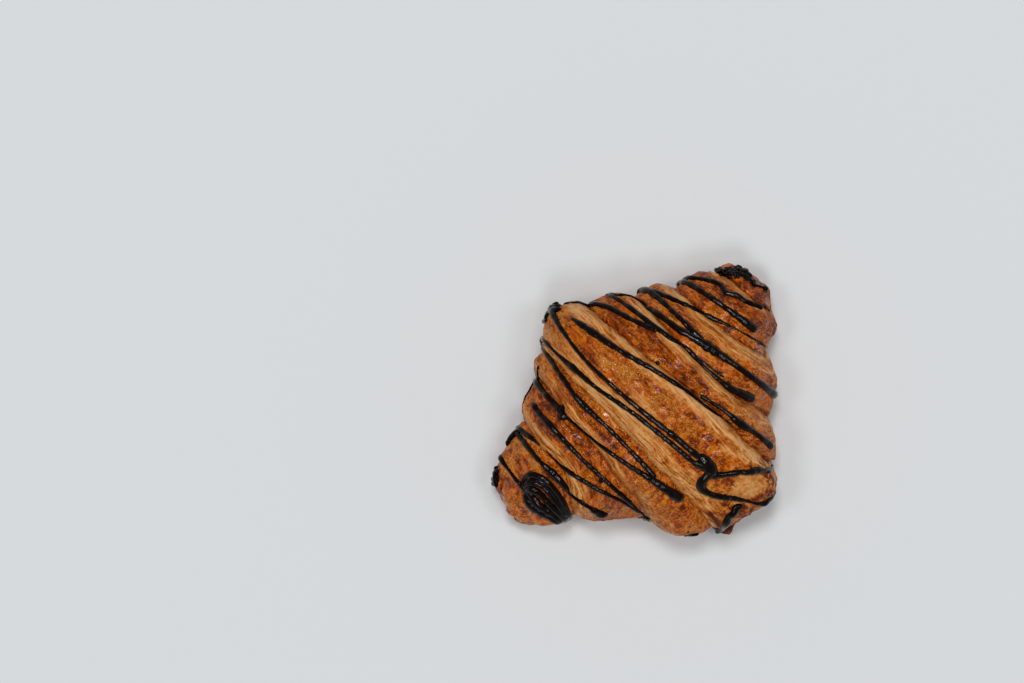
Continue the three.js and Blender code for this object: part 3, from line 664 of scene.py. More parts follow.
def crust(x, angle):
    """Points of the finished crust, and the masks and distances that its material reads."""
    even = placed(x, angle, 0)
    wandered = np.clip(x + rough(even, WANDER), LEFT_END, RIGHT_END)
    wrap = wrap_of(wandered, angle)
    relief, grain_x, across, foot, crease, pallor = wrap_relief(wandered, angle, wrap)
    relief = relief + swell(x, angle)
    place = placed(x, angle, relief)
    sine, cosine = np.sin(angle), np.cos(angle)
    above = smooth(*RELIEF_FADE, sine)
    around = mean_section(x, angle)[2] * angle
    grain = np.stack([grain_x, around, GRAIN_OFFSET * wrap], axis=-1)
    near_end = smooth(0, END_REACH, np.abs(x - MIDDLE) - (RIGHT_END - MIDDLE) + END_REACH)

    cut = (1 - smooth(*CUT_FADE, across + drawn_out(grain, *CUT_BORDER))) * above
    layers = drawn_out(grain, *LAYERS)
    crack = cracks(grain, place) * mix(CRACK["on_skin"], 1, cut) * above
    fold = folds(place) * smooth(*FOLDS["cover"], near_end) * above
    streaks = noise(place / [STREAKS["length"], 1, 1], STREAKS["spacing"], STREAKS["seed"])
    streaks = streaks * smooth(*STREAKS["cover"], near_end) * above
    beside = mix(CREVICE_ON_EDGE, 1, smooth(*EDGE_TOP, across))
    crevice = 1 - smooth(0, CREVICE_WIDTH * (1 + CREVICE_WIDER * cosine**2), foot)
    # shade is where the painted shade lies: a dark line at each foot, mostly on the lower wrap beside
    # it, as strong as the crevice is deep, up to 1.
    shade = (1 - smooth(0, CREVICE_WIDTH * CREVICE_SHADE, foot)) * np.minimum(crease, 1)
    crevice, shade = crevice * above * beside, shade * above * beside
    patch, rim = torn_patch(place)
    flap = loose_flap(place) * above
    raised = blisters(place) * mix(1, BLISTERS_ON_CUT, cut) * above * (1 - patch)

    relief = relief + rough(place, UNEVENNESS) + near_end * rough(place, END_LUMPS)
    layer_depth = LAYER_DEPTH * mix(LAYERS_ON_SKIN, 1, cut)
    relief = relief + raised + layer_depth * layers - CRACK["depth"] * crack
    relief = relief - crease * crevice * (1 + CREVICE_DEEPER * cosine**2) - FOLDS["depth"] * fold
    relief = relief + STREAKS["height"] * streaks + FLAP["height"] * flap - PATCH["depth"] * patch
    relief = relief + RIM["height"] * rim * (1 + noise(place, *RIM["bumps"])) / 2

    browning = np.take(BROWNING, wrap) + drawn_out(grain, *BROWNING_SWINGS)
    browning = browning + SCORCHES["darker"] * scorches(place) - STREAKS["paler"] * streaks
    browning = browning - LIGHTER_SIDES * (1 - smooth(*PALE_SIDES_FADE, sine))
    torn = noise(place, TORN_SWING["spacing"], TORN_SWING["seed"])
    for mask, value in (
        (cut, pallor + LAYERS_SWING * layers + drawn_out(grain, CUT_SWING)),
        (patch, BROWNING_OF_TORN + TORN_SWING["size"] * torn),
        (flap, flap_browning(place)),
        (rim * smooth(*RIM["scorched"], noise(place, *RIM["scorches"])), BROWNING_OF_RIM),
        # painted shade in the crevices at the edges' feet
        (shade, PAINTED_CREVICE_SHADE),
        # painted shade in the cracks and folds
        (CRACK["darkness"] * crack, PAINTED_CRACK_SHADE),
        (FOLDS["darkness"] * fold, PAINTED_FOLD_SHADE),
        (1 - smooth(*UNDERSIDE_FADE, sine), BROWNING_BELOW),
    ):
        browning = mix(browning, value, mask)
    # The browning mask also carries the painted shade in the crevices, cracks and folds.
    masks = {
        "browning": browning,
        "cut_edge": np.maximum(cut, patch),
        "layered": cut * (1 - patch),
        "washed": smooth(*GLOSS_FADE, sine),
        "grain_across": grain_x * MM,
        "grain_along": around * MM,
        "wrap": wrap * WRAP_STEP,
    }
    points = placed(x, angle, relief)
    points[..., 0] += near_end**2 * rough(place, END_LUMPS, later=1)
    return points, masks


def crust_surface(x, angle):
    """The finished crust at any x and angle."""
    return crust(x, angle)[0]


# ---- the dough -------------------------------------------------------------------------------------
def column_shares(wrap):
    """Shares of a wrap's width at which its columns of facets lie, closer together on a cut edge."""
    feet = feet_at(np.array([math.pi / 2]))[:, 0]
    width = feet[wrap + 1] - feet[wrap]
    across = np.linspace(0, 1, CROWDING_STOPS)
    crowd = np.ones_like(across)
    left = EDGES[wrap - 1] if wrap else None
    right = EDGES[wrap] if wrap < len(EDGES) else None
    if left and left.faces == "left":
        crowd += EDGE_CROWDING * (1 - smooth(*EDGE_CROWDED, across * width / left.width))
    if right and right.faces == "right":
        crowd += EDGE_CROWDING * (1 - smooth(*EDGE_CROWDED, (1 - across) * width / right.width))
    if left is None:
        crowd += END_CROWDING * (1 - smooth(0, END_CROWDED[0], across))
    if right is None:
        crowd += END_CROWDING * (1 - smooth(0, END_CROWDED[1], 1 - across))
    total = np.concatenate([[0], np.cumsum((crowd[1:] + crowd[:-1]) / 2)])
    columns = max(FEWEST_COLUMNS, round(width / COLUMN_SPACING * crowd.mean()))
    return np.interp(np.linspace(0, total[-1], columns + 1)[1:], total, across)


def dough_grid():
    """The x and angle of every grid point, without the two poles at the ends."""
    top = np.linspace(-SIDE_ANGLE, math.pi + SIDE_ANGLE, ROWS_ON_TOP + 1)
    below = np.linspace(math.pi + SIDE_ANGLE, 2 * math.pi - SIDE_ANGLE, ROWS_BELOW + 1)[1:-1]
    angles = np.concatenate([top, below])
    feet = feet_at(angles)
    x = []
    for wrap in range(len(EDGES) + 1):
        for share in column_shares(wrap):
            x.append(feet[wrap] + share * (feet[wrap + 1] - feet[wrap]))
    x = np.array(x[:-1])
    return x, np.broadcast_to(angles, x.shape).copy()


def pressed(points):
    """The points with the base pressed flat on the table and its corner rounded, about the origin."""
    z = points[..., 2]
    flat = np.where(z > 4 * BASE_ROUNDING, z, (z + np.sqrt(z * z + BASE_ROUNDING**2)) / 2)
    return np.concatenate([points[..., :2], flat[..., None]], axis=-1) - PLAN_CENTRE


def mesh_object(name, points, faces, masks=None):
    """A smooth-shaded object from points in millimetres, faces and named masks."""
    mesh = bpy.data.meshes.new(name)
    mesh.from_pydata((np.asarray(points) * MM).tolist(), [], faces)
    for mask, values in (masks or {}).items():
        mesh.attributes.new(mask, "FLOAT", "POINT").data.foreach_set("value", values.astype(np.float32))
    mesh.shade_smooth()
    mesh.update()
    piece = bpy.data.objects.new(name, mesh)
    bpy.context.scene.collection.objects.link(piece)
    return piece


def closed_faces(rings, sides):
    """Faces of a tube of rings, closed by two poles that are the last two points. A ring's points run
    the way that makes the faces look outwards when the rings run from head to tail."""
    number = np.arange(rings * sides).reshape(rings, sides)
    ahead = np.roll(number, -1, axis=1)
    quads = np.stack([number[:-1], ahead[:-1], ahead[1:], number[1:]], axis=-1).reshape(-1, 4).tolist()
    head, tail = rings * sides, rings * sides + 1
    caps = [[head, int(b), int(a)] for a, b in zip(number[0], ahead[0])]
    caps += [[tail, int(a), int(b)] for a, b in zip(number[-1], ahead[-1])]
    return quads + caps


def build_dough():
    """The whole roll, closed by a point at each end."""
    x, angle = dough_grid()
    grid, masks = crust(x, angle)
    poles = [plain_surface(np.array([end]), np.array([0.0]))[0] for end in (LEFT_END, RIGHT_END)]
    points = pressed(np.concatenate([grid.reshape(-1, 3), poles]))
    closed = {
        name: np.append(mask.ravel(), [mask[0].mean(), mask[-1].mean()]) for name, mask in masks.items()
    }
    return mesh_object("dough", points, closed_faces(*x.shape), closed)


def tongue_fibres(place):
    """Noise drawn out from side to side of the loose end."""
    stretched = place / [TONGUE_FIBRES["length"], 1, 1]
    return noise(stretched, TONGUE_FIBRES["spacing"], TONGUE_FIBRES["seed"])


def build_tongue():
    """The loose end's torn layer of dough, thick at its root and thin at its tip."""
    slices = np.array(TONGUE, float)
    steps = np.linspace(0, len(slices) - 1, TONGUE_RINGS)
    y, left, right, middle, thick = (np.interp(steps, np.arange(len(slices)), c) for c in slices.T)
    turn = np.arange(TONGUE_SIDES) * 2 * math.pi / TONGUE_SIDES
    lens = np.abs(np.sin(turn)) ** TONGUE_LIP * np.sign(np.sin(turn))
    x = (left + right)[:, None] / 2 + (right - left)[:, None] / 2 * np.cos(turn)
    z = middle[:, None] + thick[:, None] / 2 * lens
    points = np.stack([x, np.broadcast_to(y[:, None], x.shape), z], axis=-1)
    points[..., 2] += rough(points, TONGUE_BUMPS) + TONGUE_FIBRE_HEIGHT * tongue_fibres(points)
    points[..., 1] += rough(points, TONGUE_RAGGEDNESS)
    poles = [points[0].mean(axis=0), points[-1].mean(axis=0)]
    plain = np.concatenate([points.reshape(-1, 3), poles])
    scorched = 1 - smooth(*TONGUE_SCORCHED, plain[:, 0])
    swung = TONGUE_FIBRE_SWING * tongue_fibres(plain)
    masks = {
        "browning": mix(*BROWNING_OF_TONGUE, scorched) + swung,
        "cut_edge": 1 - scorched,
        "layered": 1 - scorched,
        "washed": np.full_like(scorched, TONGUE_GLOSS),
        "grain_across": plain[:, 1] * MM,
        "grain_along": plain[:, 0] * MM,
        "wrap": np.full_like(scorched, TONGUE_WRAP * WRAP_STEP),
    }
    return mesh_object("dough_tip", pressed(plain), closed_faces(TONGUE_RINGS, TONGUE_SIDES), masks)


# ---- the chocolate ---------------------------------------------------------------------------------
HALVINGS = 30  # in the search for a place on the crust
OUTWARD_REACH = (0.6, 0.03)  # millimetres along the roll and radians round it
SPLINE_STOPS = 24  # between two points of a route
HIGH_ABOVE = 100.0
RUN_STEP = 0.42
RUN_SIDES = 14
RUN_HEIGHT = 0.5  # of its width, above the crust
RUN_ROOT = 0.42  # of its width, below the crust
RUN_BRIDGING = 2.6  # the run spans hollows that are narrower than this
RUN_SEED = 100
RUN_BEADING = 0.18  # share by which its width varies
RUN_BEAD_STOPS = 7  # steps along the run, that a bead takes up
RUN_LUMPS = {"spacing": 2.0, "height": 0.07, "seed": 81}
RUN_TAPER = 0.03  # share of its half width, at the very end
RUN_OVERSHOOT = 0.35  # of its width, past the ends of its route
POOL_WIDTH = 5.0  # a run as wide as this spreads out flatter
SHEER = (0.4, 1.0)  # how upright the crust faces where the chocolate ran thinnest and where it lay
CRUMB_SEED = 7
CRUMB_WIDTH = (0.9, 2.0)
CRUMB_SPREAD = 0.6  # how far its one end lies from the other, at most
CRUMB_TAPER = 0.8
CRUMB_LIFT = 0.35  # of its width, that a crumb stands above the crust


def angle_at(x, y):
    """The angle at which the surface lies at this y, or further down the side past the outline."""
    spine = station(x, "spine")
    turn = np.where(y > spine, 1, -1)
    edge = np.where(y > spine, 0.0, math.pi)
    limit = plain_surface(x, edge)[..., 1]
    beyond = turn * (y - limit)
    low, high = np.zeros_like(x), np.full_like(x, math.pi)
    for _ in range(HALVINGS):
        middle = (low + high) / 2
        past = plain_surface(x, middle)[..., 1] > y
        low, high = np.where(past, middle, low), np.where(past, high, middle)
    down = edge - turn * beyond / np.abs(limit - spine)
    return np.where(beyond > 0, down, (low + high) / 2)


def outward(x, angle):
    """The surface's direction, taken over a small patch of it."""
    reach, turn = OUTWARD_REACH
    along = plain_surface(x + reach, angle) - plain_surface(x - reach, angle)
    around = plain_surface(x, angle + turn) - plain_surface(x, angle - turn)
    return unit(np.cross(around, along))


def spline(points, step):
    """A Catmull-Rom curve through the points, in even steps."""
    points = np.array(points, float)
    padded = np.concatenate([2 * points[:1] - points[1:2], points, 2 * points[-1:] - points[-2:-1]])
    t = np.linspace(0, 1, SPLINE_STOPS, endpoint=False)[:, None]
    pieces = []
    for a, b, c, d in zip(padded, padded[1:], padded[2:], padded[3:]):
        bend = (2 * a - 5 * b + 4 * c - d) * t**2 + (3 * b - a - 3 * c + d) * t**3
        pieces.append(0.5 * (2 * b + (c - a) * t + bend))
    curve = np.concatenate([*pieces, points[-1:]])
    length = np.concatenate([[0], np.cumsum(np.linalg.norm(np.diff(curve[:, :2], axis=0), axis=1))])
    stops = np.linspace(0, length[-1], max(3, round(length[-1] / step) + 1))
    return np.stack([np.interp(stops, length, column) for column in curve.T], axis=-1)


def evened(values, stops):
    """The values averaged along a run, over a window of this many stops."""
    half = max(1, int(stops)) // 2
    padded = np.pad(values, ((half, half), (0, 0)), mode="edge")
    kernel = np.hanning(2 * half + 3)[1:-1]
    kernel /= kernel.sum()
    return np.stack([np.convolve(column, kernel, mode="valid") for column in padded.T], axis=-1)


def unit(vectors):
    """The vectors at a length of 1."""
    return vectors / np.linalg.norm(vectors, axis=-1, keepdims=True)


def poured_tube(centre, normal, width):
    """The points and faces of a run along this line, domed above the crust and rooted in it, and how
    thick it could settle there: it is thin where the crust is steep."""
    ahead = unit(np.gradient(centre, axis=0))
    across = unit(np.cross(ahead, normal))
    up = np.cross(across, ahead)
    half = width / 2
    along = np.concatenate([[0], np.cumsum(np.linalg.norm(np.diff(centre, axis=0), axis=1))])
    from_end = np.clip(np.minimum(along, along[-1] - along) / half, RUN_TAPER, 1)
    round_end = half * np.sqrt(1 - (1 - from_end) ** 2)
    turn = -np.arange(RUN_SIDES) * 2 * math.pi / RUN_SIDES
    rise = np.where(np.sin(turn) > 0, 2 * RUN_HEIGHT, 2 * RUN_ROOT) * np.sin(turn)
    low = round_end / np.hypot(1, width / POOL_WIDTH)
    sideways = across[:, None] * (np.cos(turn)[None, :, None] * round_end[:, None, None])
    upward = up[:, None] * (rise[None, :, None] * low[:, None, None])
    ring = centre[:, None] + sideways + upward
    lumps = RUN_LUMPS["height"] * noise(ring, RUN_LUMPS["spacing"], RUN_LUMPS["seed"])
    ring = ring + lumps[..., None] * unit(ring - centre[:, None])
    points = np.concatenate([ring.reshape(-1, 3), centre[:1], centre[-1:]])
    facing = np.repeat(smooth(*SHEER, normal[:, 2]), RUN_SIDES)
    thick = np.concatenate([facing, facing[:1], facing[-1:]])
    return points - PLAN_CENTRE, closed_faces(len(centre), RUN_SIDES), thick


def lengthened(route):
    """The route, drawn on past both ends by a share of its width there."""
    route = np.array(route, float)
    ends = []
    for end, near in ((route[0], route[1]), (route[-1], route[-2])):
        step = (end - near)[:2]
        ends.append([*(end[:2] + step / np.linalg.norm(step) * RUN_OVERSHOOT * end[2]), end[2]])
    return np.array([ends[0], *route, ends[1]])


def run_over_crust(route, number, lift=0.0):
    """A run that follows the crust, lifted off it by this share of its width."""
    draw = np.random.default_rng(RUN_SEED + number)
    path = spline(lengthened(route), RUN_STEP)
    x = np.clip(path[:, 0], LEFT_END + END_MARGIN, RIGHT_END - END_MARGIN)
    angle = angle_at(x, path[:, 1])
    window = RUN_BRIDGING / RUN_STEP
    centre = evened(crust_surface(x, angle), window)
    normal = evened(outward(x, angle), window)
    beads = evened(draw.normal(0, 1, (len(x), 1)), RUN_BEAD_STOPS)[:, 0]
    width = path[:, 2] * (1 + RUN_BEADING * beads)
    return poured_tube(centre + lift * width[:, None] * normal, normal, width)


def run_over_pieces(route, pieces):
    """A run laid on whichever of the pieces is uppermost under it."""
    path = spline(route, RUN_STEP)
    lowest = TONGUE[-1][3]
    centre = []
    for x, y, _ in path:
        above = Vector(((x - PLAN_CENTRE[0]) * MM, (y - PLAN_CENTRE[1]) * MM, HIGH_ABOVE * MM))
        hits = [piece.ray_cast(above, Vector((0, 0, -1))) for piece in pieces]
        centre.append([x, y, max([place.z / MM for hit, place, *_ in hits if hit], default=lowest)])
    centre = evened(np.array(centre), RUN_BRIDGING / RUN_STEP)
    return poured_tube(centre, np.broadcast_to([0.0, 0, 1], centre.shape), path[:, 2])


def crumb_routes():
    """Short dabs of chocolate at random over each heap of crumbs."""
    draw = np.random.default_rng(CRUMB_SEED)
    for x, y, radius, count in CRUMBS:
        for _ in range(count):
            far, turn = radius * math.sqrt(draw.uniform()), draw.uniform(0, 2 * math.pi)
            width = draw.uniform(*CRUMB_WIDTH)
            place = (x + far * math.cos(turn), y + far * math.sin(turn))
            step = draw.uniform(-CRUMB_SPREAD, CRUMB_SPREAD, 2)
            yield ((*place, width), (place[0] + step[0], place[1] + step[1], width * CRUMB_TAPER))


def build_chocolate(dough, tongue):
    """All of the drizzle, its spatter and its crumbs in one mesh."""
    runs = [run_over_crust(route, number) for number, route in enumerate([*DRIZZLE, *SPATTER])]
    runs += [run_over_crust(route, number, CRUMB_LIFT) for number, route in enumerate(crumb_routes())]
    runs.append(run_over_pieces(TONGUE_DRIP, [dough, tongue]))
    points, faces, thick, count = [], [], [], 0
    for run, run_faces, run_thick in runs:
        faces += [[i + count for i in face] for face in run_faces]
        points.append(run)
        thick.append(run_thick)
        count += len(run)
    masks = {"thick": np.concatenate(thick)}
    return mesh_object("chocolate_drizzle", np.concatenate(points), faces, masks)


# ---- materials -------------------------------------------------------------------------------------
def linear(hex_colour):
    """An sRGB hex colour as linear RGBA."""
    channels = [int(hex_colour[i : i + 2], 16) / 255 for i in (1, 3, 5)]
    return [c / 12.92 if c <= 0.04045 else ((c + 0.055) / 1.055) ** 2.4 for c in channels] + [1.0]


def add(tree, kind, settings=None, **inputs):
    """Adds a node with these properties, and sets or links its inputs, named or numbered."""
    node = tree.nodes.new(kind)
    for name, value in (settings or {}).items():
        setattr(node, name, value)
    for name, value in inputs.items():
        socket = node.inputs[int(name[1:])] if name[0] == "_" else node.inputs[name.replace("_", " ")]
        if isinstance(value, bpy.types.NodeSocket):
            tree.links.new(socket, value)
        else:
            socket.default_value = value
    return node


def maths(tree, operation, *values):
    """The result of a Math node on sockets or numbers."""
    inputs = {f"_{i}": value for i, value in enumerate(values)}
    return add(tree, "ShaderNodeMath", {"operation": operation}, **inputs).outputs[0]


def blended(tree, factor, a, b):
    """Colour a turned towards colour b by the factor."""
    return add(tree, "ShaderNodeMix", {"data_type": "RGBA"}, _0=factor, _6=a, _7=b).outputs[2]


def ramp(tree, factor, stops):
    """A colour ramp with these (place, hex colour) stops."""
    node = add(tree, "ShaderNodeValToRGB", Fac=factor)
    elements = node.color_ramp.elements
    while len(elements) < len(stops):
        elements.new(0.5)
    for element, (place, colour) in zip(elements, stops):
        element.position = place
        element.color = linear(colour)
    return node.outputs["Color"]


def step_up(tree, value, low, high):
    """0 where the value is below low, 1 where it is above high."""
    settings = {"interpolation_type": "SMOOTHSTEP"}
    ends = dict(From_Min=low, From_Max=high)
    return add(tree, "ShaderNodeMapRange", settings, Value=value, **ends).outputs[0]


def pattern(tree, vector, size, detail=3.0, roughness=0.55, distortion=0.0):
    """Noise from 0 to 1 whose bumps are this many millimetres across."""
    scale = 1 / (size * MM)
    settings = dict(Scale=scale, Detail=detail, Roughness=roughness, Distortion=distortion)
    return add(tree, "ShaderNodeTexNoise", Vector=vector, **settings).outputs["Fac"]


def mask_of(tree, name):
    """A mask that the mesh carries."""
    return add(tree, "ShaderNodeAttribute", {"attribute_name": name}).outputs["Fac"]


def new_material(name):
    """A material, its node tree and its shader."""
    material = bpy.data.materials.new(name)
    material.use_nodes = True
    tree = material.node_tree
    return material, tree, tree.nodes["Principled BSDF"]


def along_grain(tree, stretch):
    """Coordinates that run across the layers and, drawn out this many times, along them."""
    along = maths(tree, "DIVIDE", mask_of(tree, "grain_along"), stretch)
    across, wrap = mask_of(tree, "grain_across"), mask_of(tree, "wrap")
    return add(tree, "ShaderNodeCombineXYZ", X=across, Y=along, Z=wrap).outputs[0]


def between(tree, factor, low, high):
    """From low, where the factor is 0, to high, where it is 1."""
    return maths(tree, "MULTIPLY_ADD", factor, high - low, low)


def times(tree, *values):
    """The product of sockets or numbers."""
    result = values[0]
    for value in values[1:]:
        result = maths(tree, "MULTIPLY", result, value)
    return result


def total(tree, *values):
    """The sum of sockets."""
    result = values[0]
    for value in values[1:]:
        result = maths(tree, "ADD", result, value)
    return result


def swing(tree, value):
    """A pattern from 0 to 1 as a swing to either side of none."""
    return maths(tree, "SUBTRACT", value, 0.5)


def inverse(tree, value):
    """A mask turned round."""
    return maths(tree, "SUBTRACT", 1.0, value)


# The crust's patterns. Sizes and heights are in millimetres, and a length is how many times a pattern
# is drawn out along the grain. The mottle's browning is for bare dough and for skin, and the other
# pairs of brownings and heights are for skin and for cut layers.
MOTTLE = {
    "noise": {"size": 2.3, "detail": 5.0, "roughness": 0.62, "distortion": 0.8}, "length": 1.6,
    "browning": (0.63, 2.1), "height": 0.5, "roughness": 0.4,
}
DIMPLES = {"noise": {"size": 2.6, "detail": 1.0, "roughness": 0.4}, "length": 1.4, "height": 0.45}
GRIT = {"noise": {"size": 0.95, "detail": 3.0, "roughness": 0.8}, "browning": 0.62}
FIBRES = {
    "noise": {"size": 0.65, "detail": 4.0, "roughness": 0.7}, "length": 14, "browning": (0.665, 1.71),
    "height": (0.03, 0.17),
}
SEAMS = {
    "noise": {"size": 1.8, "detail": 2.0, "roughness": 0.6}, "length": 34, "width": 0.03,
    "browning": (0.04, 0.2), "height": (-0.02, -0.14),
}
DOTS = {"size": 1.5, "share": 0.22, "radius": (0.12, 0.42), "browning": 0.14}
# The wrinkles' browning paints their ridges lighter, a painted highlight on top of the real gloss that
# their bumps catch.
WRINKLES = {"size": 4 / 3, "width": 0.34, "browning": -0.22, "height": 0.6}
CURLS = {"size": 10 / 7, "detail": 2.0, "reach": 2.0}  # that bend the wrinkles
CLUSTERS = {"noise": {"size": 5.0, "detail": 2.0}, "cover": (0.4, 0.56)}  # of wrinkles
# Egg wash dries to a clear glaze, and a bare crumb is dull: each pair is for the glaze and the crumb.
CRUST_IOR = 1.42
CRUST_ROUGHNESS = (0.14, 0.48)
CRUST_LEVEL = (0.4, 0.11)
CRUST_MEAN_LEVEL = 0.3


def crinkles(tree, place):
    """1 on the curly ridges of wrinkled egg wash, in clusters."""
    curls = dict(Scale=1 / (CURLS["size"] * MM), Detail=CURLS["detail"])
    bend = add(tree, "ShaderNodeTexNoise", Vector=place, **curls).outputs["Color"]
    reach = (CURLS["reach"] * MM,) * 3
    settings = {"operation": "MULTIPLY_ADD"}
    moved = add(tree, "ShaderNodeVectorMath", settings, _0=bend, _1=reach, _2=place).outputs[0]
    settings = {"feature": "DISTANCE_TO_EDGE"}
    scale = 1 / (WRINKLES["size"] * MM)
    cells = add(tree, "ShaderNodeTexVoronoi", settings, Scale=scale, Vector=moved)
    ridges = inverse(tree, step_up(tree, cells.outputs["Distance"], 0.0, WRINKLES["width"]))
    clusters = step_up(tree, pattern(tree, place, **CLUSTERS["noise"]), *CLUSTERS["cover"])
    return times(tree, ridges, clusters)


def specks(tree, place):
    """1 on small round specks, on a share of the cells of a pattern."""
    cells = add(tree, "ShaderNodeTexVoronoi", Scale=1 / (DOTS["size"] * MM), Vector=place)
    draw = add(tree, "ShaderNodeSeparateColor", Color=cells.outputs["Color"]).outputs[0]
    near = inverse(tree, step_up(tree, cells.outputs["Distance"], *DOTS["radius"]))
    return times(tree, near, maths(tree, "LESS_THAN", draw, DOTS["share"]))


def grained(tree, form):
    """A pattern that is drawn out along the grain."""
    return pattern(tree, along_grain(tree, form["length"]), **form["noise"])


def seams(tree):
    """1 on thin dark lines that run with the layers."""
    from_middle = maths(tree, "ABSOLUTE", swing(tree, grained(tree, SEAMS)))
    return inverse(tree, step_up(tree, from_middle, 0.0, SEAMS["width"]))


def egg_washed_crust():
    """Laminated dough, brushed with egg from above and baked. It is glossy amber where the wash
    browned, with curly wrinkles that catch the light, duller down the sides, and pale where the layers
    were cut."""
    material, tree, shader = new_material("egg_washed_crust")
    place = add(tree, "ShaderNodeTexCoord").outputs["Object"]
    cut, layered = mask_of(tree, "cut_edge"), mask_of(tree, "layered")
    skin = inverse(tree, cut)
    mottle, dimples, fibres = (grained(tree, form) for form in (MOTTLE, DIMPLES, FIBRES))
    grit = pattern(tree, place, **GRIT["noise"])
    lines = seams(tree)
    wrinkles = times(tree, crinkles(tree, place), skin)

    # This browning also holds the painted highlight on the wrinkles' ridges, and through its mask the
    # painted shade in the hollows.
    browning = total(
        tree,
        mask_of(tree, "browning"),
        times(tree, swing(tree, mottle), between(tree, skin, *MOTTLE["browning"])),
        times(tree, swing(tree, grit), GRIT["browning"]),
        times(tree, swing(tree, fibres), between(tree, layered, *FIBRES["browning"])),
        times(tree, lines, between(tree, layered, *SEAMS["browning"])),
        times(tree, specks(tree, place), DOTS["browning"]),
        # painted highlight on the wrinkles' ridges
        times(tree, wrinkles, WRINKLES["browning"]),
    )
    glazed, bare = ramp(tree, browning, GLAZED_COLOURS), ramp(tree, browning, BARE_COLOURS)
    heights = total(
        tree,
        times(tree, wrinkles, WRINKLES["height"]),
        times(tree, dimples, DIMPLES["height"]),
        times(tree, mottle, cut, MOTTLE["height"]),
        times(tree, fibres, between(tree, layered, *FIBRES["height"])),
        times(tree, lines, between(tree, layered, *SEAMS["height"])),
    )
    bump = add(tree, "ShaderNodeBump", Strength=1.0, Distance=MM, Height=heights)
    dull = inverse(tree, times(tree, skin, mask_of(tree, "washed")))
    uneven = times(tree, swing(tree, mottle), MOTTLE["roughness"])
    roughness = total(tree, between(tree, dull, *CRUST_ROUGHNESS), uneven)
    level = between(tree, dull, *CRUST_LEVEL)
    tree.links.new(shader.inputs["Base Color"], blended(tree, cut, glazed, bare))
    tree.links.new(shader.inputs["Normal"], bump.outputs["Normal"])
    tree.links.new(shader.inputs["Roughness"], roughness)
    tree.links.new(shader.inputs["Specular IOR Level"], level)
    shader.inputs["Specular IOR Level"].default_value = CRUST_MEAN_LEVEL
    shader.inputs["IOR"].default_value = CRUST_IOR
    return material


CHOCOLATE_COLOURS = ((0.35, "#090403"), (0.65, "#130A07"))
CHOCOLATE_FILM = {"size": 1.2, "height": 0.12}  # of cocoa butter, in millimetres
CHOCOLATE_IOR = 1.46
CHOCOLATE_ROUGHNESS = 0.1
CHOCOLATE_LEVEL = (0.05, 0.31)  # where it ran thin, and where it lies thick
CHOCOLATE_MEAN_LEVEL = 0.25


def set_chocolate():
    """Dark couverture, poured and set. It is nearly black, with a soft gloss that shows the light, and
    duller where it ran thin down the sides."""
    material, tree, shader = new_material("set_chocolate")
    film = pattern(tree, add(tree, "ShaderNodeTexCoord").outputs["Object"], CHOCOLATE_FILM["size"])
    height = CHOCOLATE_FILM["height"] * MM
    bump = add(tree, "ShaderNodeBump", Strength=1.0, Distance=height, Height=film)
    level = between(tree, mask_of(tree, "thick"), *CHOCOLATE_LEVEL)
    tree.links.new(shader.inputs["Base Color"], ramp(tree, film, CHOCOLATE_COLOURS))
    tree.links.new(shader.inputs["Normal"], bump.outputs["Normal"])
    tree.links.new(shader.inputs["Specular IOR Level"], level)
    shader.inputs["Specular IOR Level"].default_value = CHOCOLATE_MEAN_LEVEL
    shader.inputs["Roughness"].default_value = CHOCOLATE_ROUGHNESS
    shader.inputs["IOR"].default_value = CHOCOLATE_IOR
    return material


TABLE_COLOUR = "#E2E7EC"
TABLE_ROUGHNESS = 0.6


def painted_table():
    """A matt white laminate, so smooth and even that only its soft shading shows."""
    material, _, shader = new_material("painted_table")
    shader.inputs["Base Color"].default_value = linear(TABLE_COLOUR)
    shader.inputs["Roughness"].default_value = TABLE_ROUGHNESS
    return material


# ---- the set ---------------------------------------------------------------------------------------
HORIZON = 0.68  # brightness of the room low down, where it meets the table
WALLS = 0.3
CEILING = 0.1
# Softboxes round the camera: how far to the right, down and above in the photograph and their size,
# in metres, and their power in watts.
SOFTBOXES = {
    "softbox_top": (-1.2, -6.24, 24.0, 4.8, 2040.0),
    "softbox_bottom": (0.0, 9.12, 22.8, 5.76, 1020.0),
    "softbox_left": (-9.12, 0.0, 22.8, 4.8, 778.0),
    "softbox_right": (9.12, 0.0, 22.8, 5.76, 717.0),
}
LAMP_COLOUR = "#FFFEFB"
ROOM_COLOUR = "#F6F4F1"
TABLE_REACH = 90000.0  # millimetres from the croissant, so that it ends at the horizon
# Heights at which the room's brightness changes, as sines: from the horizon to the walls, and from the
# walls to the ceiling.
HORIZON_FADE = (0.02, 0.14)
WALL_FADE = (0.2, 0.8)


def in_plan(right, down):
    """A step in the photograph, in the plan's directions."""
    cosine, sine = math.cos(PHOTO_TURN), math.sin(PHOTO_TURN)
    return right * cosine - down * sine, -(right * sine + down * cosine)


def add_camera():
    """Looks straight down over the photograph's middle, turned so that the roll lies as it does
    there."""
    pixels = in_plan(PHOTO_SIZE[0] / 2 - PLAN_PIXEL[0], PHOTO_SIZE[1] / 2 - PLAN_PIXEL[1])
    x, y = (step * PHOTO_SCALE - centre for step, centre in zip(pixels, PLAN_CENTRE))
    distance = PHOTO_SIZE[0] * PHOTO_SCALE * LENS / SENSOR
    camera = bpy.data.objects.new("camera", bpy.data.cameras.new("camera"))
    camera.data.lens = LENS
    camera.data.sensor_width = SENSOR
    camera.location = (x * MM, y * MM, (OUTLINE_HEIGHT + distance) * MM)
    camera.rotation_euler = (0, 0, -PHOTO_TURN)
    bpy.context.scene.collection.objects.link(camera)
    bpy.context.scene.camera = camera


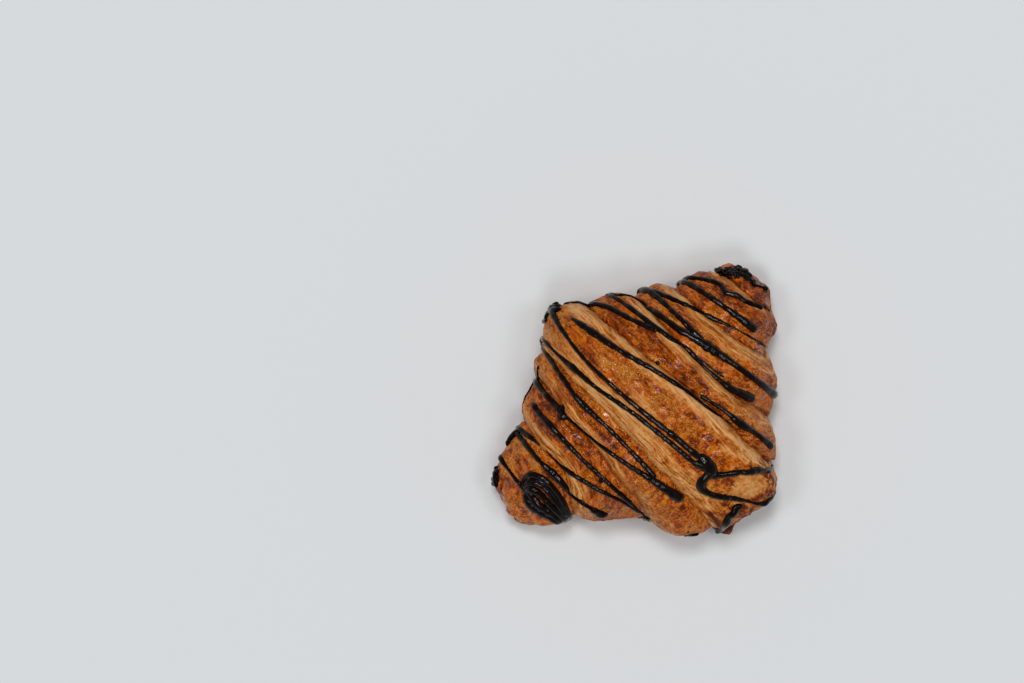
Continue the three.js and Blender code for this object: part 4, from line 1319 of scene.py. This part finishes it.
def add_softbox(name, right, down, height, size, power):
    """A square softbox this far to the right, down and above the croissant in the photograph."""
    lamp = bpy.data.objects.new(name, bpy.data.lights.new(name, "AREA"))
    lamp.data.size = size
    lamp.data.energy = power
    lamp.data.color = linear(LAMP_COLOUR)[:3]
    lamp.location = (*in_plan(right, down), height)
    lamp.rotation_euler = Vector(lamp.location).to_track_quat("Z", "Y").to_euler()
    bpy.context.scene.collection.objects.link(lamp)


def add_table():
    """The table under the croissant, which isn't part of it."""
    half = TABLE_REACH
    corners = [(-half, -half, 0), (half, -half, 0), (half, half, 0), (-half, half, 0)]
    table = mesh_object("table", corners, [(0, 1, 2, 3)])
    table.data.materials.append(painted_table())
    table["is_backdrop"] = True


def add_sky():
    """A room with pale walls, brightest low down, and a darker ceiling."""
    world = bpy.data.worlds.new("room")
    world.use_nodes = True
    tree = world.node_tree
    background = tree.nodes["Background"]
    background.inputs["Color"].default_value = linear(ROOM_COLOUR)
    direction = add(tree, "ShaderNodeTexCoord").outputs["Generated"]
    height = add(tree, "ShaderNodeSeparateXYZ", Vector=direction).outputs["Z"]
    bands = []
    for (low, high), below, above in (
        (WALL_FADE, WALLS, CEILING), (HORIZON_FADE, HORIZON - WALLS, 0.0),
    ):
        settings = dict(Value=height, From_Min=low, From_Max=high, To_Min=below, To_Max=above)
        bands.append(add(tree, "ShaderNodeMapRange", **settings).outputs[0])
    tree.links.new(background.inputs["Strength"], total(tree, *bands))
    bpy.context.scene.world = world


def main():
    """Builds the croissant, the set and the camera."""
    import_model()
    cad_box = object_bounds()
    baked = egg_washed_crust()
    dough, tongue = build_dough(), build_tongue()
    chocolate = build_chocolate(dough, tongue)
    for piece, material, slot in (
        (dough, baked, "crust"), (tongue, baked, "crust"), (chocolate, set_chocolate(), "chocolate"),
    ):
        piece.data.materials.append(material)
        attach(piece, "root")
        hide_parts("croissant")
    add_camera()
    add_table()
    add_sky()
    for name, settings in SOFTBOXES.items():
        add_softbox(name, *settings)
    scene = bpy.context.scene
    scene.view_settings.view_transform = "Standard"
    scene.view_settings.look = "None"
    sizes = {"cad": cad_box, "visual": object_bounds()}
    {name: [list(corner) for corner in box] for name, box in sizes.items()}


main()
